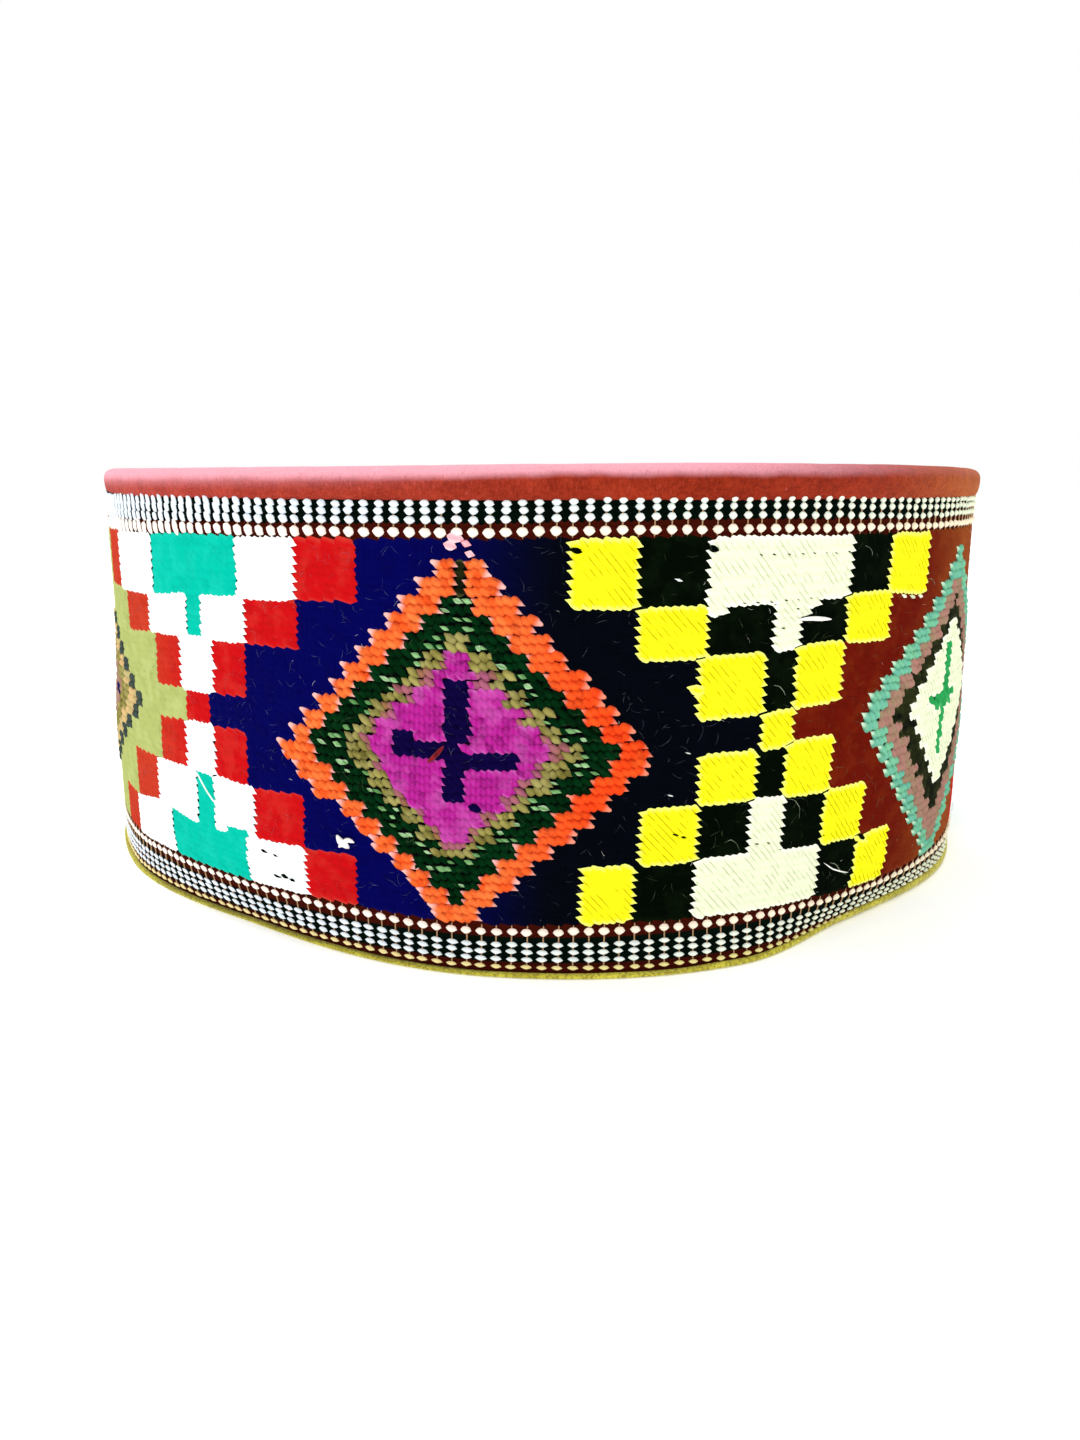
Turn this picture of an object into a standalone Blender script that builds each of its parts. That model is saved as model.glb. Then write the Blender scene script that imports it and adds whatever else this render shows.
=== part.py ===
"""A Himachali wool cap: an oval wall with a flat top, a padded roll round the top edge and a woven band.

Metres, +Z up. The cap stands on its hem at z = 0, and the middle of its woven band faces -Y.
"""
import math

import bpy
import bmesh

MM = 0.001

# The oval that the band's outer face follows, seen from above
HALF_LENGTH = 97.8 * MM
HALF_WIDTH = 90.2 * MM

# Heights
CAP_HEIGHT = 75.0 * MM
HEM_HEIGHT = 0.9 * MM
ROLL_HEIGHT = 4.4 * MM
CROWN_BELOW_ROLL = 1.0 * MM

# Thicknesses of the cloth, and the gap that keeps sewn pieces apart
BAND_THICKNESS = 1.3 * MM
WALL_THICKNESS = 2.2 * MM
CROWN_THICKNESS = 2.4 * MM
SEAM_GAP = 0.3 * MM

# The roll stands proud of the band, and the wall leans out towards the hem
ROLL_WIDTH = 6.4 * MM
ROLL_PROUD = 0.6 * MM
WALL_LEAN = 0.5 * MM
HEM_INSET = 0.3 * MM
HEM_TURN_IN = 0.2 * MM

# The lower edge curls inwards, most of all at the shoulders of the oval, and not at the very front
TUCK = 3.4 * MM
TUCK_HEIGHT = 13.0 * MM
TUCK_STARTS = math.radians(6.0)
TUCK_FULL = math.radians(36.0)
TUCK_EASES = math.radians(60.0)
TUCK_EASED = math.radians(95.0)
TUCK_BEHIND = 0.5

# The band covers the front and the sides, and plain wool shows behind
BAND_END = math.radians(107.0)
HEM_STEP = math.radians(3.0)

# How finely the curves are cut
TURN_STEPS = 96
BAND_STEPS = 64
ROLL_SIDES = 16

# Heights that follow from the ones above
ROLL_MIDDLE = CAP_HEIGHT - ROLL_HEIGHT / 2
EDGE_TOP = CAP_HEIGHT - ROLL_HEIGHT - SEAM_GAP
EDGE_FOOT = HEM_HEIGHT + SEAM_GAP

# The crown dips towards its middle: how far out a ring lies, and how far it lies below the crown's edge
CROWN_RINGS = (
    {"share": 1.00, "dip": 0.0 * MM},
    {"share": 0.97, "dip": -0.3 * MM},
    {"share": 0.85, "dip": 0.1 * MM},
    {"share": 0.60, "dip": 0.8 * MM},
    {"share": 0.30, "dip": 1.2 * MM},
)
CROWN_MIDDLE_DIP = 1.3 * MM

# Colour, roughness
RUST_WOOL = ((0.36, 0.055, 0.030, 1.0), 0.95)
WOVEN_BAND = ((0.10, 0.06, 0.08, 1.0), 0.90)
OLIVE_HEM = ((0.42, 0.36, 0.08, 1.0), 0.90)


def clear_scene():
    """Empties the scene."""
    for old in list(bpy.data.objects):
        bpy.data.objects.remove(old, do_unlink=True)


def plan_point(angle, outset):
    """A point on the oval, at an angle from the front towards +X, moved out along the oval's own normal."""
    mean = (HALF_LENGTH + HALF_WIDTH) / 2
    oval = (HALF_LENGTH - HALF_WIDTH) / 2
    radius = mean + oval * math.cos(2 * angle)
    slope = -2 * oval * math.sin(2 * angle)
    along_x = slope * math.sin(angle) + radius * math.cos(angle)
    along_y = radius * math.sin(angle) - slope * math.cos(angle)
    length = math.hypot(along_x, along_y)
    x = radius * math.sin(angle) + outset * along_y / length
    y = -radius * math.cos(angle) - outset * along_x / length
    return x, y


def lean(height):
    """How far the wall leans out at this height."""
    return WALL_LEAN * (1 - height / CAP_HEIGHT)


def ease(value, start, end):
    """Goes smoothly from 0 at start to 1 at end."""
    share = min(1.0, max(0.0, (value - start) / (end - start)))
    return share * share * (3 - 2 * share)


def tuck(angle, height):
    """How far the lower edge has curled inwards at this angle and height."""
    from_front = abs(math.remainder(angle, 2 * math.pi))
    share = ease(from_front, TUCK_STARTS, TUCK_FULL)
    share *= 1 - (1 - TUCK_BEHIND) * ease(from_front, TUCK_EASES, TUCK_EASED)
    below = max(0.0, 1 - height / TUCK_HEIGHT)
    return TUCK * share * below ** 1.5


def new_object(name, mesh_maker, finish):
    """One named object whose mesh mesh_maker fills, with its own material."""
    shape = bmesh.new()
    mesh_maker(shape)
    bmesh.ops.recalc_face_normals(shape, faces=shape.faces)
    mesh = bpy.data.meshes.new(name)
    shape.to_mesh(mesh)
    shape.free()
    obj = bpy.data.objects.new(name, mesh)
    bpy.context.scene.collection.objects.link(obj)
    mesh.shade_smooth()
    mesh.set_sharp_from_angle(angle=math.radians(40))
    colour, roughness = finish
    material = bpy.data.materials.new(name)
    material.use_nodes = True
    shader = material.node_tree.nodes["Principled BSDF"]
    shader.inputs["Base Color"].default_value = colour
    shader.inputs["Roughness"].default_value = roughness
    shader.inputs["Metallic"].default_value = 0.0
    mesh.materials.append(material)
    return obj


def sweep(shape, angles, section, closed):
    """Joins one section after another round the oval. section(angle) gives (outset, height) pairs."""
    loops = []
    for angle in angles:
        loop = []
        for outset, height in section(angle):
            x, y = plan_point(angle, outset)
            loop.append(shape.verts.new((x, y, height)))
        loops.append(loop)
    pairs = list(zip(loops[:-1], loops[1:]))
    if closed:
        pairs.append((loops[-1], loops[0]))
    for here, there in pairs:
        for i in range(len(here)):
            j = (i + 1) % len(here)
            shape.faces.new((here[i], there[i], there[j], here[j]))
    if not closed:
        shape.faces.new(loops[0])
        shape.faces.new(list(reversed(loops[-1])))


def full_turn():
    """Angles all the way round."""
    return [2 * math.pi * i / TURN_STEPS for i in range(TURN_STEPS)]


def upright_section(outer, thickness, foot, top):
    """A section function for an upright layer of cloth that leans with the wall and curls in at its foot."""
    heights = (foot, foot + (TUCK_HEIGHT - foot) * 0.45, TUCK_HEIGHT, top)

    def section(angle):
        outer_side = [(outer + lean(z) - tuck(angle, z), z) for z in heights]
        inner_side = [(outset - thickness, z) for outset, z in reversed(outer_side)]
        return outer_side + inner_side

    return section


def make_front_band():
    """The woven strip. Its outer face lies on the oval."""
    angles = [BAND_END * (2 * i / BAND_STEPS - 1) for i in range(BAND_STEPS + 1)]
    section = upright_section(0.0, BAND_THICKNESS, EDGE_FOOT, EDGE_TOP)
    return new_object("front_band", lambda shape: sweep(shape, angles, section, False), WOVEN_BAND)


def make_side_wall():
    """The wool wall behind the band, all the way round."""
    outer = -BAND_THICKNESS - SEAM_GAP
    section = upright_section(outer, WALL_THICKNESS, EDGE_FOOT, EDGE_TOP)
    return new_object("side_wall", lambda shape: sweep(shape, full_turn(), section, True), RUST_WOOL)


def make_top_roll():
    """The padded roll on the top edges of the band and the wall."""
    middle = ROLL_PROUD - ROLL_WIDTH / 2
    corners = []
    for i in range(ROLL_SIDES):
        turn = 2 * math.pi * (i + 0.5) / ROLL_SIDES
        outset = middle + ROLL_WIDTH / 2 * math.cos(turn)
        corners.append((outset, ROLL_MIDDLE + ROLL_HEIGHT / 2 * math.sin(turn)))
    return new_object("top_roll", lambda shape: sweep(shape, full_turn(), lambda angle: corners, True), RUST_WOOL)


def make_hem():
    """The turned edge that the cap stands on. It is wider under the band than behind."""
    inner = -BAND_THICKNESS - SEAM_GAP - WALL_THICKNESS - HEM_TURN_IN
    under_band = -HEM_INSET
    under_wall = -BAND_THICKNESS - SEAM_GAP + HEM_INSET / 2

    def section(angle):
        from_front = abs(math.remainder(angle, 2 * math.pi))
        past = min(1.0, max(0.0, (from_front - BAND_END) / HEM_STEP))
        outer = under_band + (under_wall - under_band) * past
        foot_shift = lean(0) - tuck(angle, 0)
        top_shift = lean(0) - tuck(angle, HEM_HEIGHT)
        return (
            (outer + foot_shift, 0.0),
            (outer + top_shift, HEM_HEIGHT),
            (inner + top_shift, HEM_HEIGHT),
            (inner + foot_shift, 0.0),
        )

    return new_object("hem", lambda shape: sweep(shape, full_turn(), section, True), OLIVE_HEM)


def make_crown_top():
    """The flat top, a dished oval of cloth inside the roll."""
    edge_outset = ROLL_PROUD - ROLL_WIDTH - SEAM_GAP
    edge_height = CAP_HEIGHT - CROWN_BELOW_ROLL

    def fill(shape):
        edge_rings = []
        for drop in (0.0, CROWN_THICKNESS):
            rings = []
            for row in CROWN_RINGS:
                ring = []
                for angle in full_turn():
                    x, y = plan_point(angle, edge_outset)
                    height = edge_height - row["dip"] - drop
                    ring.append(shape.verts.new((x * row["share"], y * row["share"], height)))
                rings.append(ring)
            middle = shape.verts.new((0.0, 0.0, edge_height - CROWN_MIDDLE_DIP - drop))
            edge_rings.append(rings[0])
            for outer, inner in zip(rings[:-1], rings[1:]):
                for i in range(TURN_STEPS):
                    j = (i + 1) % TURN_STEPS
                    shape.faces.new((outer[i], outer[j], inner[j], inner[i]))
            for i in range(TURN_STEPS):
                shape.faces.new((rings[-1][i], rings[-1][(i + 1) % TURN_STEPS], middle))
        upper, lower = edge_rings
        for i in range(TURN_STEPS):
            j = (i + 1) % TURN_STEPS
            shape.faces.new((upper[i], lower[i], lower[j], upper[j]))

    return new_object("crown_top", fill, RUST_WOOL)


def main():
    """Builds the cap."""
    clear_scene()
    make_side_wall()
    make_front_band()
    make_top_roll()
    make_crown_top()
    make_hem()


main()
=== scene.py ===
# %% [markdown]
# # A Himachali wool cap
# This cap is an oval wall of rust-brown wool with a flat top. A padded roll runs round the top edge, and
# a hand-woven strip covers the front and the sides. The strip is what the eye goes to: dotted borders,
# stepped blocks and diamonds, each row of yarn ending in a small pointed tooth. The cap's own solids are
# loaded first, and every softer piece below is built round them, in millimetres.

# %% Load the frame
import math

import bpy
import numpy as np
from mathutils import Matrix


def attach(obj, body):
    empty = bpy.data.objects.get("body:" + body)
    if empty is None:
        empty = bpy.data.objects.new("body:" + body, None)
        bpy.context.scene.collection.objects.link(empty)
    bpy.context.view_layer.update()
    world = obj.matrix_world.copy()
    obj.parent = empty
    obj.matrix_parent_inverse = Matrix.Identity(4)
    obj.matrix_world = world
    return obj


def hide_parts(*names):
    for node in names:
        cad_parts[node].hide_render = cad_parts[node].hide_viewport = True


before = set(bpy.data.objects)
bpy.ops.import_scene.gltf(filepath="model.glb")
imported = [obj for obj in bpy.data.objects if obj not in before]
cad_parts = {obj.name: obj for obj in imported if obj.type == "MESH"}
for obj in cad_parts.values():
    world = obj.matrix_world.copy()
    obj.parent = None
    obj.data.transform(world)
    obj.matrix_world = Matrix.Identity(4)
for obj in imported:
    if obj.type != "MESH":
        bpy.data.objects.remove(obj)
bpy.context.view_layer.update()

print("solids:", sorted(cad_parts))

# %% [markdown]
# ## The oval
# Seen from above the cap is an oval, a little longer from front to back than from side to side. A polar
# curve with one cosine in it gives that shape and stays smooth, which an ellipse with offset walls
# doesn't. Cloth is measured along its surface, so a table turns millimetres along the band into an angle
# on the oval. Zero is the middle of the front, and plus is towards +X.

# %% Measures and the oval
# Lengths are in millimetres, and MM turns them into metres
MM = 0.001
HALF_LENGTH = 97.8
HALF_WIDTH = 90.2
HEIGHT = 75.0
LEAN = 0.5
# A round figure for the oval's radius, where an angle only has to become a rough length
ROUGH_RADIUS = 95.0
BAND_FOOT = 0.8
BAND_TOP = 70.9
BAND_END_ANGLE = math.radians(107.0)


def oval(angle, outset):
    """Points (x, y) on the oval at these angles, moved out along its own normal."""
    mean = (HALF_LENGTH + HALF_WIDTH) / 2
    swing = (HALF_LENGTH - HALF_WIDTH) / 2
    radius = mean + swing * np.cos(2 * angle)
    slope = -2 * swing * np.sin(2 * angle)
    along_x = slope * np.sin(angle) + radius * np.cos(angle)
    along_y = radius * np.sin(angle) - slope * np.cos(angle)
    length = np.hypot(along_x, along_y)
    x = radius * np.sin(angle) + outset * along_y / length
    y = -radius * np.cos(angle) - outset * along_x / length
    return x, y


def ease(value, start, end):
    """Goes smoothly from 0 at start to 1 at end."""
    share = np.clip((value - start) / (end - start), 0, 1)
    return share * share * (3 - 2 * share)


def slump(angle, height):
    """How far the wall has sunk inwards with wear, in millimetres. The lower edge curls in at both
    shoulders, more tightly on the right, and sticks out a little in front. Towards both sides the upper
    part leans in."""
    turn = np.degrees((angle + math.pi) % (2 * math.pi) - math.pi)
    left = 3.6 * ease(-turn, 25, 54) * (1 - ease(-turn, 52, 80)) * np.clip(1 - height / 14.0, 0, 1) ** 1.3
    right = 4.2 * ease(turn, -3, 12) * (1 - 0.82 * ease(turn, 14, 37))
    right = right * np.clip(1 - height / 12.0, 0, 1) ** 1.5
    front = 0.9 * np.exp(-((turn + 10) / 13.0) ** 2) * np.clip(1 - height / 7.0, 0, 1)
    upper_left = 1.4 * np.exp(-((turn + 100) / 38.0) ** 2) * ease(height, 22, 48)
    upper_right = 0.8 * ease(turn, 25, 50) * ease(height, 25, 60)
    behind = ease(turn, 110, 165)
    return left - front + upper_left + (right + upper_right) * (1 - behind)


def on_oval(angle, outset, height):
    """Points (x, y, z) in millimetres. The three may be arrays of any shapes that fit together."""
    angle, outset, height = np.broadcast_arrays(angle, outset, height)
    x, y = oval(angle, outset + LEAN * (1 - height / HEIGHT) - slump(angle, height))
    return np.stack([x, y, height], -1)


# How far the rows wander up or down, in millimetres: heights, then a place along the band and its shift
# at each
SAG_HEIGHTS = (0, 7.5, 17.7, 26.6, 34, 39, 48, 56, 64.7, 68.0, 70.3)
SAG = (
    (-125, (0, 0.0, -1.7, -1.3, -1.0, -0.8, -1.4, -1.9, -0.8, -0.3, 0.0)),
    (-110, (0, 0.4, 0.1, -0.9, -0.7, -0.2, -0.3, -1.6, -0.6, -0.2, 0.1)),
    (-97, (0, 0.6, -1.0, -0.6, 0.0, 0.3, 0.3, -0.7, -0.2, -0.1, 0.1)),
    (-85, (0, 0.6, -0.8, -1.1, 0.3, 0.6, 0.3, -0.4, -0.2, 0.0, 0.1)),
    (-66, (0, 0.5, -0.4, -0.6, -0.3, 0.0, 0.1, 0.0, -0.1, 0.0, -0.1)),
    (-47, (0, -0.3, -0.4, -0.8, -0.9, -0.8, -0.3, 0.0, 0.0, 0.1, 0.0)),
    (-22, (0, -0.1, -0.3, -0.6, -0.5, -0.5, -0.2, -0.4, 0.3, 0.6, 0.5)),
    (-3, (0, -0.3, 0.0, -0.4, -0.5, 0.0, 0.2, -0.3, 0.3, 0.65, 0.6)),
    (8, (0, -0.3, -0.6, -0.8, 0.5, 0.6, 1.1, 0.0, 0.1, 0.5, 0.6)),
    (18, (0, -0.8, -0.6, -0.8, -0.1, 1.1, 0.5, 0.4, 0.1, 0.2, 0.3)),
    (34, (0, -1.2, -0.7, -0.8, 0.0, 0.4, -0.2, -0.8, 0.0, 0.0, 0.0)),
)
SAG_PLACES = np.array([place for place, _ in SAG], float)
SAG_SHIFTS = np.array([shifts for _, shifts in SAG])
TURN = np.linspace(-math.pi, math.pi, 7201)
TURN_X, TURN_Y = oval(TURN, 0.0)
WALK = np.concatenate([[0.0], np.cumsum(np.hypot(np.diff(TURN_X), np.diff(TURN_Y)))])
WALK -= np.interp(0.0, TURN, WALK)
BAND_END = float(np.interp(BAND_END_ANGLE, TURN, WALK))


def sag(along, height):
    """The wander of the rows at places on the band, blended smoothly from one place to the next."""
    shifts = np.array([np.interp(height, SAG_HEIGHTS, row) for row in SAG_SHIFTS])
    step = np.clip(np.searchsorted(SAG_PLACES, along) - 1, 0, len(SAG_PLACES) - 2)
    share = ease(along, SAG_PLACES[step], SAG_PLACES[step + 1])
    here = np.take_along_axis(shifts, step[None], 0)[0]
    there = np.take_along_axis(shifts, step[None] + 1, 0)[0]
    return here + (there - here) * share


def on_band(along, height, outset):
    """Points at millimetres along the band from its middle. The weave leans a little, so high points shift.
    No hand-woven strip lies quite true: its rows sag by a millimetre or two, and it bunches up at the lower
    right."""
    along, height, outset = np.broadcast_arrays(along, height, outset)
    bunch = np.clip(along / 34.0, 0, 1) * np.clip((90.0 - along) / 40.0, 0, 1)
    bunch = bunch * np.clip((38.0 - height) / 20.0, 0, 1)
    walked = along + 0.022 * (height - 36.0) - 3.4 * bunch
    return on_oval(np.interp(walked, WALK, TURN), outset, height + sag(along, height))


print(f"round the band: {WALK[-1] - WALK[0]:.0f} mm, band from {-BAND_END:.1f} to {BAND_END:.1f} mm")

# %% [markdown]
# ## Making a mesh
# Nearly every piece here is a patch of points in rows and columns: a ring of cloth, one stitch, one hair.
# So one helper lists the faces of many such patches at once, and another turns points and faces into a
# piece. Working on whole arrays keeps thousands of stitches quick. Values that a material needs, such as
# how near a point is to the tip of its stitch, are kept in UV layers.

# %% Mesh helpers
def patch_faces(count, rows, columns, close_rows=False, close_columns=False):
    """Four-sided faces of count patches, each of rows times columns points."""
    steps = np.arange(rows if close_rows else rows - 1)
    sides = np.arange(columns if close_columns else columns - 1)
    row, column = np.meshgrid(steps, sides, indexing="ij")

    def at(i, j):
        return (i % rows) * columns + j % columns

    corners = [at(row, column), at(row + 1, column), at(row + 1, column + 1), at(row, column + 1)]
    one = np.stack(corners, -1).reshape(-1, 4)
    return (one[None] + np.arange(count)[:, None, None] * rows * columns).reshape(-1, 4)


def new_piece(name, points, faces, finish, layers=None):
    """A smooth-shaded piece that stays with the cap. layers gives two values per point for each UV layer."""
    mesh = bpy.data.meshes.new(name)
    mesh.from_pydata((np.asarray(points).reshape(-1, 3) * MM).tolist(), [], np.asarray(faces).tolist())
    corner_points = np.zeros(len(mesh.loops), np.int32)
    mesh.loops.foreach_get("vertex_index", corner_points)
    for label, values in (layers or {}).items():
        layer = mesh.uv_layers.new(name=label)
        corner_values = np.asarray(values).reshape(-1, 2)[corner_points]
        layer.data.foreach_set("uv", corner_values.astype(np.float32).ravel())
    mesh.materials.append(finish)
    mesh.shade_smooth()
    piece = bpy.data.objects.new(name, mesh)
    bpy.context.scene.collection.objects.link(piece)
    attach(piece, "root")
    return piece


def ripple(points, seed, size, count=9):
    """Smooth waves through space, about -1 to 1, the same at every run. size is a wave's length in
    millimetres."""
    chance = np.random.default_rng(seed)
    total = np.zeros(points.shape[:-1])
    for _ in range(count):
        heading = chance.normal(size=3)
        heading /= np.linalg.norm(heading)
        length = size * chance.uniform(0.6, 1.7)
        total += np.sin(points @ heading * 2 * math.pi / length + chance.uniform(0, 2 * math.pi))
    return total / math.sqrt(count)


# %% [markdown]
# ## Writing shaders as sums
# A material in Blender is a graph of nodes, and long graphs are hard to read in code. The class below
# wraps one output socket, so that a line such as `1 - edge * 0.4` adds the Math nodes by itself. Colours
# never go through Math nodes, which would turn them grey: they are blended with Mix. Every other node
# comes from `node`, which sets its options first and its sockets after.

# %% Shader helpers
def colour(red, green, blue):
    """An 8-bit screen colour as the linear values that shaders use."""
    shares = [value / 255 for value in (red, green, blue)]
    linear = [share / 12.92 if share <= 10 / 255 else ((share + 0.055) / 1.055) ** 2.4 for share in shares]
    return (*linear, 1.0)


class Wire:
    """One output socket, with arithmetic."""

    def __init__(self, finish, socket):
        self.finish = finish
        self.socket = socket

    def math(self, operation, *values):
        return self.finish.node("ShaderNodeMath", {"operation": operation}, dict(enumerate(values)))

    def __add__(self, other):
        return self.math("ADD", self, other)

    __radd__ = __add__

    def __sub__(self, other):
        return self.math("SUBTRACT", self, other)

    def __rsub__(self, other):
        return self.math("SUBTRACT", other, self)

    def __mul__(self, other):
        return self.math("MULTIPLY", self, other)

    __rmul__ = __mul__

    def __truediv__(self, other):
        return self.math("DIVIDE", self, other)

    def __pow__(self, other):
        return self.math("POWER", self, other)

    def __abs__(self):
        return self.math("ABSOLUTE", self)

    def smooth(self, low, high, out_low=0.0, out_high=1.0):
        """Eases from out_low to out_high as this value goes from low to high."""
        values = {"Value": self, "From Min": low, "From Max": high, "To Min": out_low, "To Max": out_high}
        return self.finish.node("ShaderNodeMapRange", {"interpolation_type": "SMOOTHSTEP"}, values)


class Finish:
    """A material that is written as expressions."""

    def __init__(self, name):
        self.material = bpy.data.materials.new(name)
        self.material.use_nodes = True
        self.tree = self.material.node_tree
        self.shader = self.tree.nodes["Principled BSDF"]

    def node(self, kind, settings=None, sockets=None, out=0):
        """Adds a node: its settings, then its sockets' values or links. Gives back one of its outputs."""
        made = self.tree.nodes.new(kind)
        for key, value in (settings or {}).items():
            setattr(made, key, value)
        for key, value in (sockets or {}).items():
            self.put(made.inputs[key], value)
        return Wire(self, made.outputs[out])

    def put(self, socket, value):
        if isinstance(value, Wire):
            self.tree.links.new(value.socket, socket)
        else:
            socket.default_value = value

    def mix(self, first, second, share):
        """Blends two colours."""
        return self.node("ShaderNodeMix", {"data_type": "RGBA"}, {0: share, 6: first, 7: second}, out=2)

    def point(self):
        """Where the shaded point is on the cap, in metres."""
        return self.node("ShaderNodeTexCoord", out=3)

    def parts(self, vector):
        """The first and second number of a vector."""
        first = self.node("ShaderNodeSeparateXYZ", None, {0: vector})
        return first, Wire(self, first.socket.node.outputs[1])

    def height(self, vector):
        """The third number of a vector."""
        return self.node("ShaderNodeSeparateXYZ", None, {0: vector}, out=2)

    def layer(self, label):
        """The two values that a UV layer keeps for the shaded point."""
        return self.parts(self.node("ShaderNodeUVMap", {"uv_map": label}))

    def scaled(self, vector, by):
        """A vector times another, part by part."""
        return self.node("ShaderNodeVectorMath", {"operation": "MULTIPLY"}, {0: vector, 1: by})

    def noise(self, vector, scale, detail=3.0, rough=0.55):
        values = {"Vector": vector, "Scale": scale, "Detail": detail, "Roughness": rough}
        return self.node("ShaderNodeTexNoise", None, values)

    def bump(self, height, distance, strength):
        values = {"Height": height, "Distance": distance, "Strength": strength}
        return self.node("ShaderNodeBump", None, values)

    def done(self, base, roughness, normal=None, **constants):
        """Joins the graph to the shader. Constants go straight on its sockets."""
        self.put(self.shader.inputs["Base Color"], base)
        self.put(self.shader.inputs["Roughness"], roughness)
        if normal is not None:
            self.put(self.shader.inputs["Normal"], normal)
        for key, value in constants.items():
            self.shader.inputs[key.replace("_", " ")].default_value = value
        return self.material


# %% [markdown]
# ## Wool cloth
# The roll, the top and the wall are one cloth: brick-brown wool, woven, then milled and brushed until the
# weave is almost gone under a short nap. A real nap is thousands of hairs. Here a fine noise, pulled
# sideways, stands for the hairs in both colour and bump, and a coarser one for the cloudy shading of
# brushed wool. Sheen on the shader gives the pale bloom that the nap has where it is seen edge-on.
# The roll's colour holds painted light too: a pale highlight along the top, and shading from left to right.

# %% Wool finish
def wool(name, light, deep, bloom, bloom_share, highlight_above=None, painted_light_shifts=(), cloudy=0.22):
    """Milled wool. highlight_above is a height in metres above which a painted highlight makes it pale.
    painted_light_shifts holds rows of (light, deep, from, to): towards the right the cloth turns into these
    colours, which are painted light and shade. The painted highlight and these colours both stop behind.
    cloudy is how strong the cloudy shading is."""
    f = Finish(name)
    where = f.point()
    clouds = f.noise(where, 260.0, 4.0).smooth(0.35, 0.68)
    hairs = f.noise(f.scaled(where, (1.0, 1.0, 0.42)), 3400.0, 3.0, 0.65)
    cross_hairs = f.noise(f.scaled(where, (0.5, 0.5, 1.4)), 2300.0, 2.0, 0.6)
    nap = hairs * 0.6 + cross_hairs * 0.4
    sideways, backwards = f.parts(where)
    in_front = backwards.smooth(0.01, 0.06, 1.0, 0.0)
    # Painted light: pale on the left, painted shade in the middle, a painted orange highlight at the right
    # end
    for shift_light, shift_deep, fades_from, fades_to in painted_light_shifts:
        to_right = sideways.smooth(fades_from, fades_to) * in_front
        light = f.mix(light, shift_light, to_right)
        deep = f.mix(deep, shift_deep, to_right)
    base = f.mix(deep, light, clouds * cloudy + nap.smooth(0.34, 0.64) * (1 - cloudy))
    pale_hairs = hairs.smooth(0.66, 0.76) * 0.30
    base = f.mix(base, bloom, pale_hairs)
    # Painted highlight: the roll turns pale pink from a height up, where the light from above falls
    if highlight_above is not None:
        up = f.height(where)
        edge = f.noise(f.scaled(where, (1.0, 1.0, 0.6)), 160.0, 2.0) * 0.0008 - 0.0004
        at_left = sideways.smooth(-0.085, -0.04, 1.0, 0.0)
        # The painted highlight reaches half a millimetre lower on the left
        lower = sideways.smooth(-0.055, -0.028, 0.0005, 0.0)
        painted_highlight = (up + edge + lower).smooth(highlight_above, highlight_above + 0.0014)
        painted_highlight = painted_highlight + (1.0 - painted_highlight) * at_left * up.smooth(0.0712, 0.0740) * 0.6
        specks = hairs.smooth(0.30, 0.42) * 0.25 + 0.75
        # The painted highlight nearly fades away on the right, and there is none behind
        highlight_fade = (1.0 - sideways.smooth(-0.02, 0.035) * 0.92) * in_front
        base = f.mix(base, bloom, painted_highlight * specks * (0.66 + nap * 0.28) * highlight_fade)
    normal = f.bump(nap + clouds * 0.5, 0.0004, 0.75)
    return f.done(base, clouds * -0.06 + 0.93, normal, Sheen_Weight=bloom_share, Sheen_Roughness=0.42,
                  Sheen_Tint=bloom, Specular_IOR_Level=0.1)


# Painted light along the roll: shade from the left into the middle, then an orange highlight at the right
# end
ROLL_PAINTED_LIGHT = (
    (colour(158, 48, 20), colour(112, 26, 8), -0.10, -0.01),
    (colour(190, 106, 8), colour(150, 70, 2), 0.010, 0.070),
)
# The pale pink is the sheen's tint and also the colour of the painted highlight along the top
roll_wool = wool("rust_wool_roll", colour(186, 68, 52), colour(140, 40, 28), colour(242, 170, 184), 0.14,
                 highlight_above=0.0730, painted_light_shifts=ROLL_PAINTED_LIGHT, cloudy=0.36)
crown_wool = wool("rust_wool_crown", colour(172, 60, 45), colour(128, 38, 27), colour(222, 130, 128), 0.22)
wall_wool = wool("rust_wool_wall", colour(166, 57, 42), colour(122, 36, 25), colour(216, 128, 122), 0.18)
print("wool finishes:", roll_wool.name, crown_wool.name, wall_wool.name)

# %% [markdown]
# ## The flat top
# The top is a disc of the wool cloth, sewn in at the roll. It sags a little in the middle, and the seam
# gathers its edge into small puckers. Rings of points from the middle to the rim make it. Each ring's
# height is the sag plus a slow wave plus the puckers, which die away within two and a half centimetres of
# the seam. The underside follows the upper side at the thickness of the cloth.

# %% Crown
AROUND = 288
RIM_INSET = 5.3
RIM_HEIGHT = 74.0
CROWN_HEIGHT = 74.15
CROWN_SAG = 1.3
CROWN_THICKNESS = 2.1
ring_angle = np.linspace(0, 2 * math.pi, AROUND, endpoint=False)


def crown_height(share, angle, points):
    """Height of the top's upper face, at a share of the way from the middle to its rim."""
    dip = CROWN_SAG * (1 - share ** 2) ** 1.5
    edge = np.clip((share - 0.72) / 0.28, 0, 1) ** 2
    pucker = np.sin(58 * angle + 1.4 * np.sin(5 * angle)) * 0.10 + np.sin(33 * angle + 2.0) * 0.08
    roll_over = 0.5 * np.clip((share - 0.965) / 0.035, 0, 1) ** 2
    return CROWN_HEIGHT - dip + edge * pucker - roll_over + 0.22 * ripple(points, 3, 62.0)


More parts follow.
